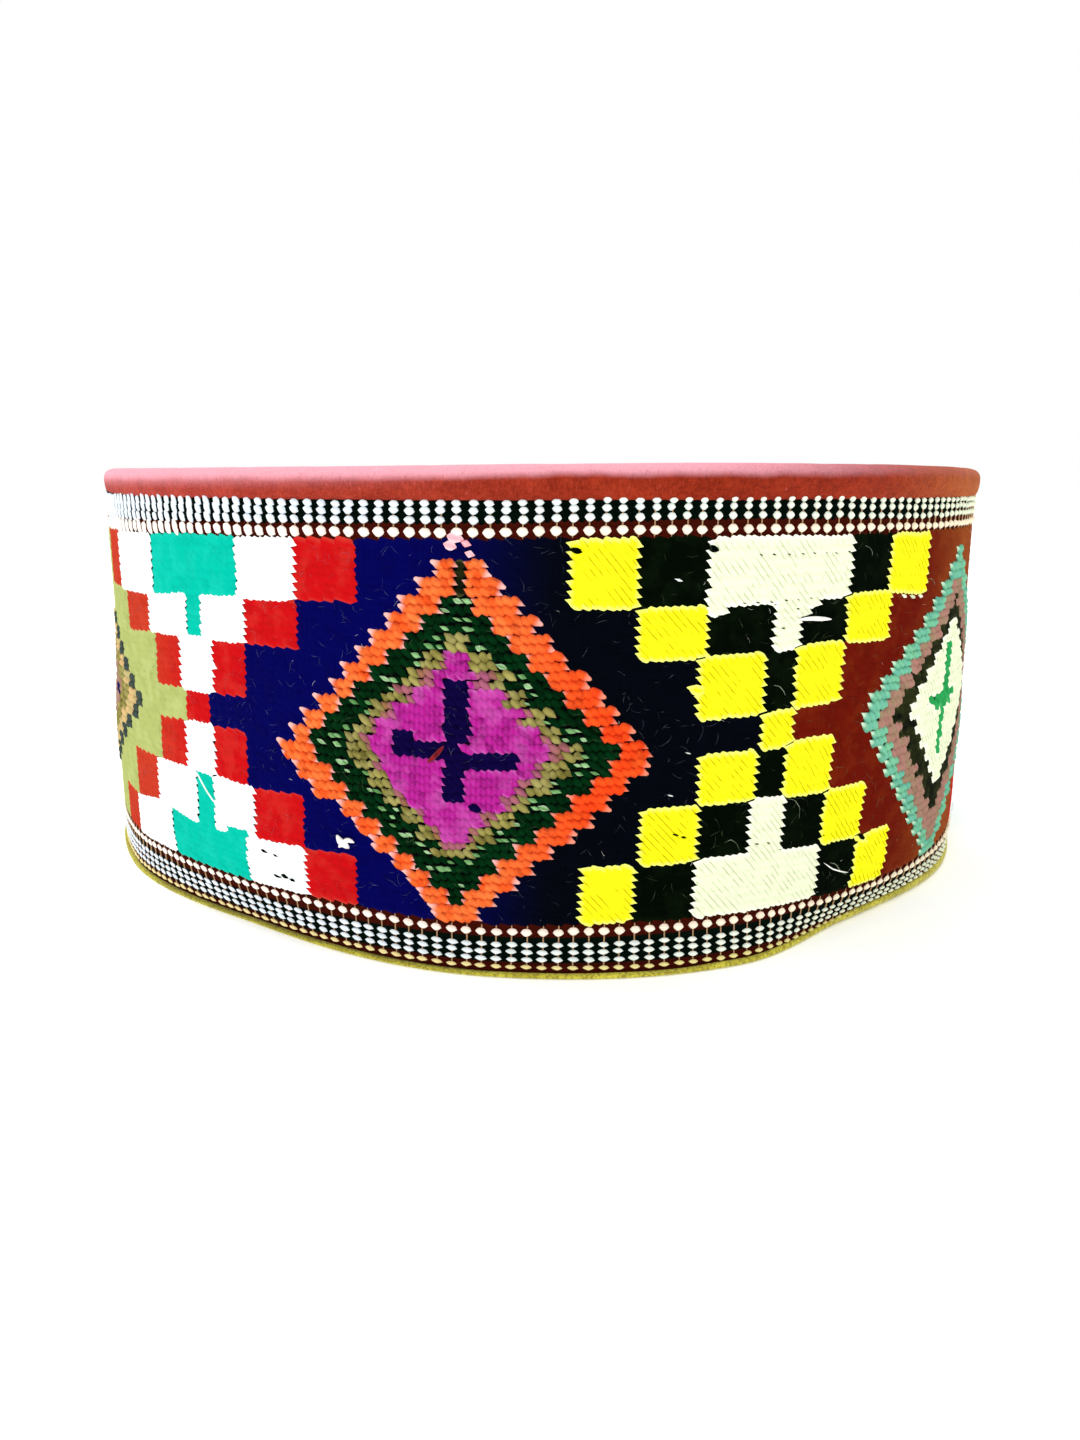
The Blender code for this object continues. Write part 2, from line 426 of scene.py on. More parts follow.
crown_shares = np.concatenate([np.linspace(0.0005, 0.80, 18), np.linspace(0.825, 1.0, 12)])
flat_rim = on_oval(ring_angle, -RIM_INSET, RIM_HEIGHT)
upper = []
for share in crown_shares:
    ring = flat_rim * [share, share, 1.0]
    ring[:, 2] = crown_height(share, ring_angle, ring)
    upper.append(ring)
upper = np.array(upper)
lower = upper[::-1] - [0.0, 0.0, CROWN_THICKNESS]
crown_points = np.concatenate([upper, lower])
crown_faces = patch_faces(1, len(crown_points), AROUND, close_rows=True, close_columns=True)
crown = new_piece("crown_cloth", crown_points, crown_faces[:, ::-1], crown_wool)
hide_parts("crown_top")
print("crown:", len(crown_faces), "faces")

# %% [markdown]
# ## The padded roll
# The roll is wool folded over a soft core. It isn't a machined ring: it swells and thins by a few tenths
# of a millimetre, and slanting creases show where the cloth was pulled round the curve. A ring of rounded
# sections would look like rubber, so waves at three sizes move each point in or out, and the creases are
# deeper on top. Its lower edge is pulled down over the top of the band like a lip, so no gap shows
# between the two.

# %% Roll
SIDES = 36
ROLL_STEPS = 720
ROLL_HALF_WIDTH = 3.2
ROLL_HALF_HEIGHT = 2.15
ROLL_MIDDLE = 72.75
LIP_DEPTH = 0.75
LIP_PLACE = math.radians(318)
LIP_SPREAD = math.radians(24)
roll_turn = np.linspace(0, 2 * math.pi, SIDES, endpoint=False)
roll_angle = np.linspace(-math.pi, math.pi, ROLL_STEPS, endpoint=False)
around, section = np.meshgrid(roll_angle, roll_turn, indexing="ij")


def rounded(value, power):
    """Squares off a wave: a power below 1 gives a section with fuller corners."""
    return np.sign(value) * np.abs(value) ** power


to_left = -np.degrees(around)
proud = 0.35 + 0.25 * np.sin(around) - 0.5 * ease(to_left, 60, 100) * (1 - ease(to_left, 120, 170))
in_front = 1 - ease(np.abs(to_left), 110, 160)
droop = (0.3 + 0.2 * ease(to_left, 25, 70)) * in_front
lip = LIP_DEPTH * np.exp(-(((section - LIP_PLACE) / LIP_SPREAD) ** 2)) * in_front
centre = proud - ROLL_HALF_WIDTH
lift = 0.5 * np.exp(-(((around - math.radians(3)) / math.radians(24)) ** 2))
outward = rounded(np.cos(section), 0.66)
upward = rounded(np.sin(section), 0.76)
plain = on_oval(around, centre + ROLL_HALF_WIDTH * outward, 72.8 + 2.2 * upward)
slow = ripple(plain, 11, 70.0)
lumps = ripple(plain * [1, 1, 0.6], 12, 17.0)
leaning = np.stack([around * ROUGH_RADIUS + section * 2.2, np.zeros_like(around), np.zeros_like(around)], -1)
top_side = np.clip(np.sin(section), 0, 1)
under_side = np.clip(-np.sin(section), 0, 1)
crease = np.clip(ripple(leaning, 13, 5.5, 5), 0, 2) * top_side
swell = 1.0 + 0.026 * slow + 0.010 * lumps - 0.012 * crease
roll_height = ROLL_MIDDLE + 0.08 * slow + lift * top_side - droop * under_side - lip
roll_height = roll_height + ROLL_HALF_HEIGHT * swell * upward
roll_points = on_oval(around, centre + ROLL_HALF_WIDTH * swell * outward, roll_height)
roll_faces = patch_faces(1, len(roll_angle), SIDES, close_rows=True, close_columns=True)
roll = new_piece("roll_cover", roll_points, roll_faces, roll_wool)
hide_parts("top_roll")
print(f"roll: top at {roll_points[..., 2].max():.2f} mm")

# %% [markdown]
# ## The wool wall
# Behind the band is the wall of the cap, the same wool cloth joined by one upright seam at the back. It
# shows on the outside only behind the band's ends, and all round on the inside. It is a closed strip of
# cloth: up the outer face, over the top edge, down the inner face and back under. The seam is a shallow
# groove with the cloth raised on both sides of it.

# %% Wall
WALL_OUTER = -1.75
WALL_MIDDLE = -2.7
WALL_INNER = -3.7
wall_up = np.linspace(BAND_FOOT, BAND_TOP, 18)
wall_section = [(WALL_OUTER, z) for z in wall_up] + [(WALL_MIDDLE, BAND_TOP + 0.15)]
wall_section += [(WALL_INNER, z) for z in wall_up[::-1]] + [(WALL_MIDDLE, BAND_FOOT - 0.1)]
wall_section = np.array(wall_section)
wall_points = on_oval(roll_angle[:, None], wall_section[None, :, 0], wall_section[None, :, 1])
from_back = (np.pi - np.abs(roll_angle)) * ROUGH_RADIUS
seam = -0.55 * np.exp(-((from_back / 0.8) ** 2)) + 0.28 * np.exp(-(((from_back - 3.0) / 1.8) ** 2))
wave = 0.16 * ripple(wall_points, 21, 48.0)
outer = (wall_section[:, 0] > -2.0)[None, :] * (0.1 + seam[:, None] + wave)
inner = (wall_section[:, 0] < -3.0)[None, :] * (seam[:, None] * 0.5 + wave * 0.5)
wall_outset = wall_section[None, :, 0] + outer + inner
wall_points = on_oval(roll_angle[:, None], wall_outset, wall_section[None, :, 1])
wall_faces = patch_faces(1, len(roll_angle), len(wall_section), close_rows=True, close_columns=True)
wall = new_piece("wall_cloth", wall_points, wall_faces, wall_wool)
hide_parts("side_wall")
print("wall:", len(wall_faces), "faces")

# %% [markdown]
# ## The hem
# A narrow cotton strip in olive mustard binds the lower edge, and the cap stands on it. It shows as a
# thin line under the last row of dots. It is a soft fold, fuller in front and most of all on the right,
# where its extra height is partly a painted shadow along the cap's foot. It wavers slightly, so it is
# swept round the oval from one rounded section. A fine drawn-out noise stands for its plain weave.

# %% Hem
def cotton(name, light, deep):
    """Plain cotton, a little grimy."""
    f = Finish(name)
    where = f.point()
    weave = f.noise(f.scaled(where, (1.0, 1.0, 0.3)), 2600.0, 2.0)
    grime = f.noise(where, 120.0, 3.0).smooth(0.4, 0.7)
    base = f.mix(f.mix(deep, light, weave.smooth(0.35, 0.6)), deep, grime * 0.5)
    return f.done(base, grime * 0.05 + 0.86, f.bump(weave, 0.00025, 0.7), Sheen_Weight=0.2,
                  Specular_IOR_Level=0.2)


hem_cotton = cotton("hem_cotton", colour(208, 200, 66), colour(150, 138, 36))
HEM_OUTER = 0.35
HEM_OUTER_BEHIND = -1.15
HEM_INNER = 4.0
hem_turn = np.linspace(0, 2 * math.pi, 16, endpoint=False)
past_band = np.clip((np.abs(roll_angle) - BAND_END_ANGLE) / math.radians(3.0), 0, 1)
hem_outer = HEM_OUTER + (HEM_OUTER_BEHIND - HEM_OUTER) * past_band
hem_centre = (hem_outer - HEM_INNER) / 2
hem_half = (hem_outer + HEM_INNER) / 2
out_part = rounded(np.cos(hem_turn), 0.55)[None, :]
up_part = rounded(np.sin(hem_turn), 0.75)[None, :]
to_right = np.degrees(roll_angle)
# Taller in front and most of all on the right: partly a fuller fold, partly a painted shadow at the cap's
# foot
fold_and_shadow = 0.18 * ease(to_right, -50, 0) + 0.62 * ease(to_right, -4, 24)
hem_tall = 0.26 + fold_and_shadow * (1 - ease(to_right, 110, 165))
hem_points = on_oval(roll_angle[:, None], hem_centre[:, None] + hem_half[:, None] * out_part,
                     hem_tall[:, None] * (1 + up_part))
hem_points[..., 2] += np.where(up_part > 0.2, 0.10 * ripple(hem_points, 31, 22.0), 0.0)
hem_faces = patch_faces(1, len(roll_angle), len(hem_turn), close_rows=True, close_columns=True)
hem = new_piece("hem_strip", hem_points, hem_faces, hem_cotton)
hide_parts("hem")
print(f"hem: {hem_points[..., 2].min():.2f} to {hem_points[..., 2].max():.2f} mm high")

# %% [markdown]
# ## The ground of the band
# The woven strip has a thin dark ground that shows between the pattern yarns. Along both edges the ground
# is part of the pattern: blue-black between the white dots and maroon beside the cream ones. The strip is
# a closed shell with turned-in ends. Its colours go by height alone, so the material reads the height and
# blends at each line.

# %% Band ground
def band_ground(name):
    """Dark threads, with a colour for each strip of the band by its height in millimetres."""
    f = Finish(name)
    where = f.point()
    up = f.height(where) * 1000.0
    threads = f.noise(f.scaled(where, (1.0, 1.0, 3.0)), 1500.0, 2.0)
    night = f.mix(colour(0, 5, 4), colour(6, 20, 12), threads)
    maroon = f.mix(colour(34, 6, 2), colour(74, 18, 6), threads)
    field = f.mix(colour(0, 2, 6), colour(12, 8, 8), threads)
    base = f.mix(maroon, night, up.smooth(2.2, 2.5))
    base = f.mix(base, maroon, up.smooth(6.2, 6.5))
    base = f.mix(base, field, up.smooth(8.8, 9.1))
    base = f.mix(base, maroon, up.smooth(64.4, 64.7))
    base = f.mix(base, night, up.smooth(67.5, 67.8))
    return f.done(base, threads * 0.1 + 0.85, f.bump(threads, 0.0003, 0.8), Specular_IOR_Level=0.02)


ground_cloth = band_ground("band_ground_cloth")
band_steps = np.linspace(-BAND_END, BAND_END, 361)
GROUND_OUTER = -0.42
GROUND_MIDDLE = -0.85
GROUND_INNER = -1.25
ground_up = np.linspace(BAND_FOOT, BAND_TOP, 24)
ground_section = [(GROUND_OUTER, z) for z in ground_up] + [(GROUND_MIDDLE, BAND_TOP + 0.12)]
ground_section += [(GROUND_INNER, z) for z in ground_up[::-1]] + [(GROUND_MIDDLE, BAND_FOOT - 0.12)]
ground_section = np.array(ground_section)
ground_points = on_band(band_steps[:, None], ground_section[None, :, 1], ground_section[None, :, 0])
# Just past each end the two faces of the strip close up
FOLD = 0.3
FOLD_OUTER = -0.78
FOLD_INNER = -0.92
fold = np.where(ground_section[:, 0] < -0.9, FOLD_INNER, GROUND_MIDDLE)
fold = np.where(ground_section[:, 0] > -0.8, FOLD_OUTER, fold)
fold_places = np.array([[-BAND_END - FOLD], [BAND_END + FOLD]])
folds = on_band(fold_places, ground_section[None, :, 1], fold[None, :])
ground_points = np.concatenate([folds[:1], ground_points, folds[1:]])
ground_faces = patch_faces(1, len(ground_points), len(ground_section), close_columns=True)
# Each end is closed by a strip of faces between its outer and its inner side
side_points = len(ground_up)
end_faces = []
for first in (0, (len(ground_points) - 1) * len(ground_section)):
    for i in range(side_points - 1):
        outer_low, inner_low = first + i, first + 2 * side_points - i
        face = (outer_low, outer_low + 1, inner_low - 1, inner_low)
        end_faces.append(face if first else face[::-1])
ground_faces = np.concatenate([ground_faces, end_faces])
ground = new_piece("band_ground", ground_points, ground_faces, ground_cloth)
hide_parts("front_band")
print("band ground:", len(ground_faces), "faces")

# %% [markdown]
# ## Charting the pattern
# Weavers keep such a pattern in their heads as rows of coloured runs, and so does this chart. A repeat is
# 96.5 mm long and has 42 twill columns, and the field has 44 rows. A stepped block is nested: each tier
# is wider or narrower by one step, and colours change from edge to core.

# %% Measures of the pattern
REPEAT = 96.5
COLUMNS = 42
COLUMN = REPEAT / COLUMNS
FIELD_FOOT = 8.8
FIELD_TOP = 64.7
ROWS = 44
ROW = (FIELD_TOP - FIELD_FOOT) / ROWS
# A block's tiers from the foot: how many rows, and how many steps wider than the core
TIER_ROWS = (7, 7, 6, 4, 7, 6, 7)
TIER_LEVELS = (3, 2, 1, 0, 1, 2, 3)
CORE_HALF = 2.85
STEP = 9.75

# The plain yarn behind the pattern: from, to, yarn
BEYOND = 400.0
GROUNDS = (
    (-BEYOND, -REPEAT, "olive"),
    (-REPEAT, 0.0, "navy"),
    (0.0, REPEAT, "brown"),
    (REPEAT, BEYOND, "navy"),
)
# The middle of each block, and its yarns from the edge to the core
BLOCKS = (
    (-2 * REPEAT, ("yellow", "black", "cream")),
    (-REPEAT, ("red", "white", "teal")),
    (0.0, ("yellow", "black", "cream")),
    (REPEAT, ("red", "white", "teal")),
    (2 * REPEAT, ("yellow", "black", "cream")),
)
print(f"a column is {COLUMN:.3f} mm wide, and a row is {ROW:.3f} mm high")

# %% [markdown]
# A diamond is a stack of rings by one simple sum: how far along plus how far up. Two rows share one
# width, which gives its stair-stepped sides. A cross of a few short bars lies in its middle.

# %% Diamonds
# The rings of a diamond from the outside in: yarn, half width, height of the foot, of the widest place
# and of the top, and how much the upper sides bulge, where 1 is straight
MIDDLE_RINGS = (
    ("orange", 28.8, 6.6, 34.2, 64.6, 1.0),
    ("bottle", 24.4, 11.6, 34.8, 58.0, 1.0),
    ("khaki", 18.3, 17.3, 35.0, 52.4, 1.1),
    ("dusk", 15.2, 19.2, 35.0, 49.8, 1.2),
    ("magenta", 13.8, 20.4, 35.0, 48.0, 1.3),
)
# A cross's bars: first and last row, then from and to in millimetres from the diamond's middle
CROSS_BARS = (
    (22, 28, -1.5, 2.2),
    (20, 22, -9.6, -5.6),
    (20, 21, -6.0, 1.0),
    (19, 20, -1.0, 9.6),
    (15, 19, -1.6, 1.7),
)
THIN_BARS = (
    (22, 28, -1.5, 1.9),
    (21, 21, -8.2, -4.4),
    (20, 21, -5.0, 4.6),
    (21, 21, 4.0, 6.0),
    (14, 19, -1.3, 1.2),
)
DIAMONDS = (
    {"middle": -147.0, "cross_at": -147.0, "cross": "navy", "rings": (
        ("slate", 28.8, 19.0, 35.0, 51.0, 1.0), ("peach", 25.7, 20.8, 35.0, 49.2, 1.0),
        ("khaki", 20.2, 23.8, 35.0, 46.2, 1.0), ("rose", 13.2, 27.6, 35.0, 42.4, 1.0))},
    {"middle": -48.25, "cross_at": -48.5, "cross": "indigo", "rings": MIDDLE_RINGS},
    {"middle": 48.3, "cross_at": 46.4, "cross": "leaf", "bars": THIN_BARS, "rings": (
        ("mint", 30.6, 7.0, 36.0, 62.2, 1.12), ("rose", 26.4, 10.4, 36.0, 58.8, 1.0),
        ("soot", 22.3, 15.6, 36.0, 54.2, 1.0), ("cream", 16.6, 21.0, 36.0, 50.3, 1.0))},
    {"middle": 144.75, "cross_at": 144.5, "cross": "indigo", "rings": MIDDLE_RINGS},
)
print("diamonds:", len(DIAMONDS))

# %% [markdown]
# The rest of the chart is listed one by one, because a loom keeps no square and a weaver slips now and
# then: the edges of the two blocks in front, the uneven orange ring, and runs of a wrong yarn.

# %% Listed one by one
# The edges of the two blocks in front, tier by tier from the foot, as millimetres from the block's middle.
# The other blocks follow the plain rule.
HAND_EDGES = {
    -REPEAT: (
        (-38.0, -27.6, -10.9, 10.6, 22.8, 32.3),
        (-27.5, -15.3, -1.8, 3.0, 12.7, 23.0),
        (-13.7, -4.0, 3.5, 11.6),
        (-4.1, 2.7),
        (-14.7, -5.1, 3.7, 11.9),
        (-29.1, -16.3, -2.7, 1.3, 11.9, 22.6),
        (-45.0, -32.3, -13.9, 10.6, 22.2, 33.1),
    ),
    0.0: (
        (-29.2, -21.9, -11.9, 10.8, 20.7, 29.9),
        (-20.7, -12.4, -3.3, 2.4, 11.5, 20.7),
        (-12.2, -3.2, 2.4, 11.4),
        (-2.3, 2.9),
        (-12.9, -2.8, 3.2, 11.9),
        (-22.3, -12.5, -1.1, 2.9, 12.6, 22.3),
        (-32.1, -23.0, -12.2, 12.3, 22.0, 32.9),
    ),
}
# The top of the orange ring is blunt, leans to the right and is split in the middle
ORANGE_TOP_ROW = 41
ORANGE_LEANS_ABOVE = 34.2
ORANGE_SPLIT = (38, 41, -0.1, 1.1)
# The left corner of the orange ring sits lower than the right one, and below a height its left limb lies
# further in
ORANGE_LOWERED = 1.3
ORANGE_SLIPS_BELOW = 26.5
ORANGE_SLIP = 2.4
# A magenta stem goes on above the cross: first and last row, from, to
STEM = (28, 31, -1.5, 1.9)
# Small slips in the weaving: first and last row, from, to, yarn
STRAY_RUNS = (
    (36, 36, -12.4, -9.6, "cream"), (36, 36, 2.6, 6.2, "cream"), (35, 35, 2.6, 4.6, "cream"),
    (27, 27, -100.4, -92.2, "white"), (7, 7, -90.4, -85.4, "teal"),
    (27, 27, -14.2, -12.6, "yellow"), (6, 6, 21.0, 23.4, "black"),
)
# How far the edges of a ring waver from row to row, where it is more than usual
WAVER = {"khaki": 0.55, "dusk": 0.7, "magenta": 0.4, "orange": 0.2, "peach": 0.5, "soot": 0.4, "rose": 0.3}
print("runs set by hand:", len(STRAY_RUNS))


# %% Chart
def paint(runs, start, end, yarn_name):
    """Lays one run over those that are there, as (start, end, yarn) in order along the row."""
    if end - start < 0.3:
        return runs
    kept = []
    for a, b, name in runs:
        if a < start:
            kept.append((a, min(b, start), name))
        if b > end:
            kept.append((max(a, end), b, name))
    kept.append((start, end, yarn_name))
    return sorted(run for run in kept if run[1] - run[0] > 0.25)


def tier_of(row):
    """Which tier of a block a row of the field belongs to."""
    for tier, count in enumerate(TIER_ROWS):
        if row < count:
            return tier
        row -= count
    raise ValueError("no such row")


def chart_row(row, chance):
    """The coloured runs of one row of the field, from the bottom up."""
    runs = list(GROUNDS)
    tier = tier_of(row)
    level = TIER_LEVELS[tier]
    for middle, yarns in BLOCKS:
        edges = [side * (CORE_HALF + step * STEP) for side in (-1, 1) for step in range(level + 1)]
        edges = sorted(HAND_EDGES[middle][tier] if middle in HAND_EDGES else edges)
        for ring in range(level + 1):
            a = middle + edges[ring] + chance.normal() * 0.08
            b = middle + edges[-1 - ring] + chance.normal() * 0.08
            runs = paint(runs, a, b, yarns[min(ring, 2)])
    for first, last, a, b, name in STRAY_RUNS:
        if first <= row <= last:
            runs = paint(runs, a, b, name)
    pair_height = FIELD_FOOT + (row // 2 * 2 + 1) * ROW
    for diamond in DIAMONDS:
        runs = diamond_runs(runs, diamond, row, pair_height, chance)
    return runs


def ring_half(ring, height, lowered=0.0):
    """Half the width of a diamond's ring at a height, below 0 where there is none. Its widest place may be
    lowered."""
    _, widest_half, foot, widest, top, bulge = ring
    widest -= lowered
    if height > widest:
        return widest_half * (1 - ((height - widest) / (top - widest)) ** bulge)
    return widest_half * (1 - (widest - height) / (widest - foot))


def diamond_runs(runs, diamond, row, pair_height, chance):
    """Lays one row of a diamond over the runs: its rings from the outside in, then its cross."""
    middle = diamond["middle"]
    split = diamond["rings"] == MIDDLE_RINGS
    for ring in diamond["rings"]:
        name = ring[0]
        half = ring_half(ring, pair_height)
        lopsided = slipped = 0.0
        if split and name == "orange":
            lopsided = max(0.0, (pair_height - ORANGE_LEANS_ABOVE) / 60.0)
            slipped = ORANGE_SLIP if pair_height < ORANGE_SLIPS_BELOW else 0.0
            half = half if row <= ORANGE_TOP_ROW else 0.0
        if half > 0.6:
            waver = WAVER.get(name, 0.12)
            left_half = ring_half(ring, pair_height, ORANGE_LOWERED) if name == "orange" else half
            a = middle - left_half + lopsided + slipped * min(1.0, half / 10.0) + chance.normal() * waver
            b = middle + half + lopsided + chance.normal() * waver
            runs = paint(runs, a, b, name)
        if name == "bottle" and half > 1.5:
            runs = light_marks(runs, middle, half, row, chance)
    if split:
        for name, (first, last, a, b) in (("magenta", STEM), ("soot", ORANGE_SPLIT)):
            if first <= row <= last:
                runs = paint(runs, middle + a, middle + b, name)
    for first, last, a, b in diamond.get("bars", CROSS_BARS):
        if first <= row <= last:
            waver = chance.normal(size=2) * 0.25
            start = diamond["cross_at"] + a + waver[0]
            end = diamond["cross_at"] + b + waver[1]
            runs = paint(runs, start, end, diamond["cross"])
    return runs


def light_marks(runs, middle, half, row, chance):
    """Short pale-green picks in the dark-green ring, most of them beside the khaki."""
    for side in (-1, 1):
        for inward, share in ((5.3, 0.72), (4.1, 0.40), (2.6, 0.20)):
            if half > inward + 1.0 and chance.random() < share:
                centre = middle + side * (half - inward) + chance.normal() * 0.45
                reach = chance.uniform(0.30, 0.65)
                runs = paint(runs, centre - reach, centre + reach, "pale_green")
    if half <= 5.9 and row > 30:
        for place in (-1.6, 0.2, 1.6):
            if chance.random() < 0.5:
                runs = paint(runs, middle + place - 0.5, middle + place + 0.5, "pale_green")
    return runs


chart_chance = np.random.default_rng(7)
chart = [chart_row(row, chart_chance) for row in range(ROWS)]
print("runs in the chart:", sum(len(runs) for runs in chart))

# %% [markdown]
# ## One stitch
# Up close the field is a twill: each yarn floats over one column, dropping a little to the right, so that
# floats line up in slanting ridges. A float is a long pillow, rounded across and dipping at both ends.
# Where a run of one colour ends, the last float goes on as a pointed tooth over its neighbour. All floats
# of one yarn are made as one array of patches and become one piece, which keeps the piece count low.

# %% Stitch patches
# The reach in millimetres up to which a tooth is a plain point
FINGER = 1.15
# How far below the oval the floats are bedded
BED = -0.36


def tooth(distance, reach):
    """Outline of a run's last float by the distance from its tip: a plain point, or a blunt wedge where the
    reach is long."""
    point = np.clip((distance + 0.08) / (reach + 0.5), 0, 1) ** 1.1
    finger = 0.56 + 0.46 * ease(distance, 0.25, reach + 0.1)
    finger = finger * np.sqrt(1 - (1 - np.clip(distance / 0.40, 0, 1)) ** 2)
    return np.where(reach > FINGER, finger, point)


def stitches(rows, along_steps, across_steps, lens=False):
    """Points and layers for many floats. Each row of numbers is one float:
    start, start height, end, end height, width, rise, base, start reach, end reach, pale above, pale below.
    With lens they are dots, and the two reaches are the powers of their upper and lower outline: low is
    pointed, high is flat."""
    values = np.array(rows, float).T[:, :, None, None]
    a, za, b, zb, width, rise, base, reach_a, reach_b, pale_above, pale_below = values
    t = np.linspace(0, 1, along_steps)
    t = (t - np.sin(2 * math.pi * t) / (2 * math.pi) * 0.55)[None, :, None]
    s = np.linspace(-1, 1, across_steps)[None, None, :]
    length = np.hypot(b - a, zb - za)
    from_start = t * length
    from_end = (1 - t) * length
    if lens:
        powers = np.where(s > 0, reach_a, reach_b)
        narrow = np.maximum(1 - np.abs(2 * t - 1) ** powers, 0.03)
        lift = np.sqrt(narrow)
        tip_a = tip_b = narrow * 0
    else:
        blunt = 0.42
        taper_a = np.clip(from_start / np.where(reach_a > 0, reach_a + 0.45, blunt), 0, 1)
        taper_b = np.clip(from_end / np.where(reach_b > 0, reach_b + 0.45, blunt), 0, 1)
        narrow_a = np.where(reach_a > 0, tooth(from_start, reach_a), np.sqrt(1 - (1 - taper_a) ** 2))
        narrow_b = np.where(reach_b > 0, tooth(from_end, reach_b), np.sqrt(1 - (1 - taper_b) ** 2))
        narrow = np.maximum(narrow_a * narrow_b, 0.05)
        lift = np.sqrt(np.clip(taper_a * taper_b, 0, 1)) * (0.7 + 0.3 * np.sin(math.pi * np.clip(t, 0, 1)))
        lift = np.maximum(lift, np.where((reach_a > FINGER) | (reach_b > FINGER), 0.75 * narrow, 0))
        tip_a = np.clip(1 - from_start / (reach_a + 0.3), 0, 1) * ease(reach_a, 0.2, 1.1)
        tip_b = np.clip(1 - from_end / (reach_b + 0.3), 0, 1) * ease(reach_b, 0.2, 1.1)
    half = width / 2 * narrow
    along_x, along_z = (b - a) / length, (zb - za) / length
    along = a + (b - a) * t - along_z * half * s
    height = za + (zb - za) * t + along_x * half * s
    round_off = np.clip(1 - s ** 2, 0, 1) ** 0.75
    sunk = np.minimum(rise, 0.4) * 0.4 * (1 - lift)
    out = BED + base + rise * lift * round_off - sunk - 0.06 * np.abs(s) ** 3
    points = on_band(along, height, out)
    # How much painted highlight each point takes: the teeth's tips, and float edges beside another yarn
    pale = np.maximum(pale_above * np.clip(s, 0, 1), pale_below * np.clip(-s, 0, 1))
    pale = pale * np.where(rise < 0.3, 0.8, 0.15)
    one_each = np.random.default_rng(len(rows)).random((len(rows), 1, 1))
    paleness = np.maximum(np.maximum(tip_a, tip_b), pale)
    layers = {
        "thread": np.broadcast_arrays(from_start * 0.1 + one_each * 7, s * 0.5 + 0.5 + one_each * 0),
        "place": np.broadcast_arrays(along / REPEAT, height / HEIGHT),
        "cast": np.broadcast_arrays(one_each + t * 0 + s * 0, paleness),
    }
    return points, {label: np.stack(pair, -1) for label, pair in layers.items()}


def stitch_piece(name, rows, finish, along_steps, across_steps, lens=False):
    """All the floats of one yarn as one piece."""
    points, layers = stitches(rows, along_steps, across_steps, lens)
    faces = patch_faces(len(rows), along_steps, across_steps)
    piece = new_piece(name, points, faces, finish, layers)
    print(f"{name}: {len(rows)} floats, {2 * len(faces)} triangles")
    return piece


# %% [markdown]
# ## Yarn finishes
# Every yarn is wool with the same build: a body colour, a deeper colour painted as shade in the valleys
# between floats, and a paler one painted as highlight on the teeth, where the fibres stand up to the
# light. Fine lines along the float are its fibres. Each float is a shade lighter or darker than the next.
# Some yarns also drift from one colour to another along the band, so a finish may name a second colour
# and where it sets in.

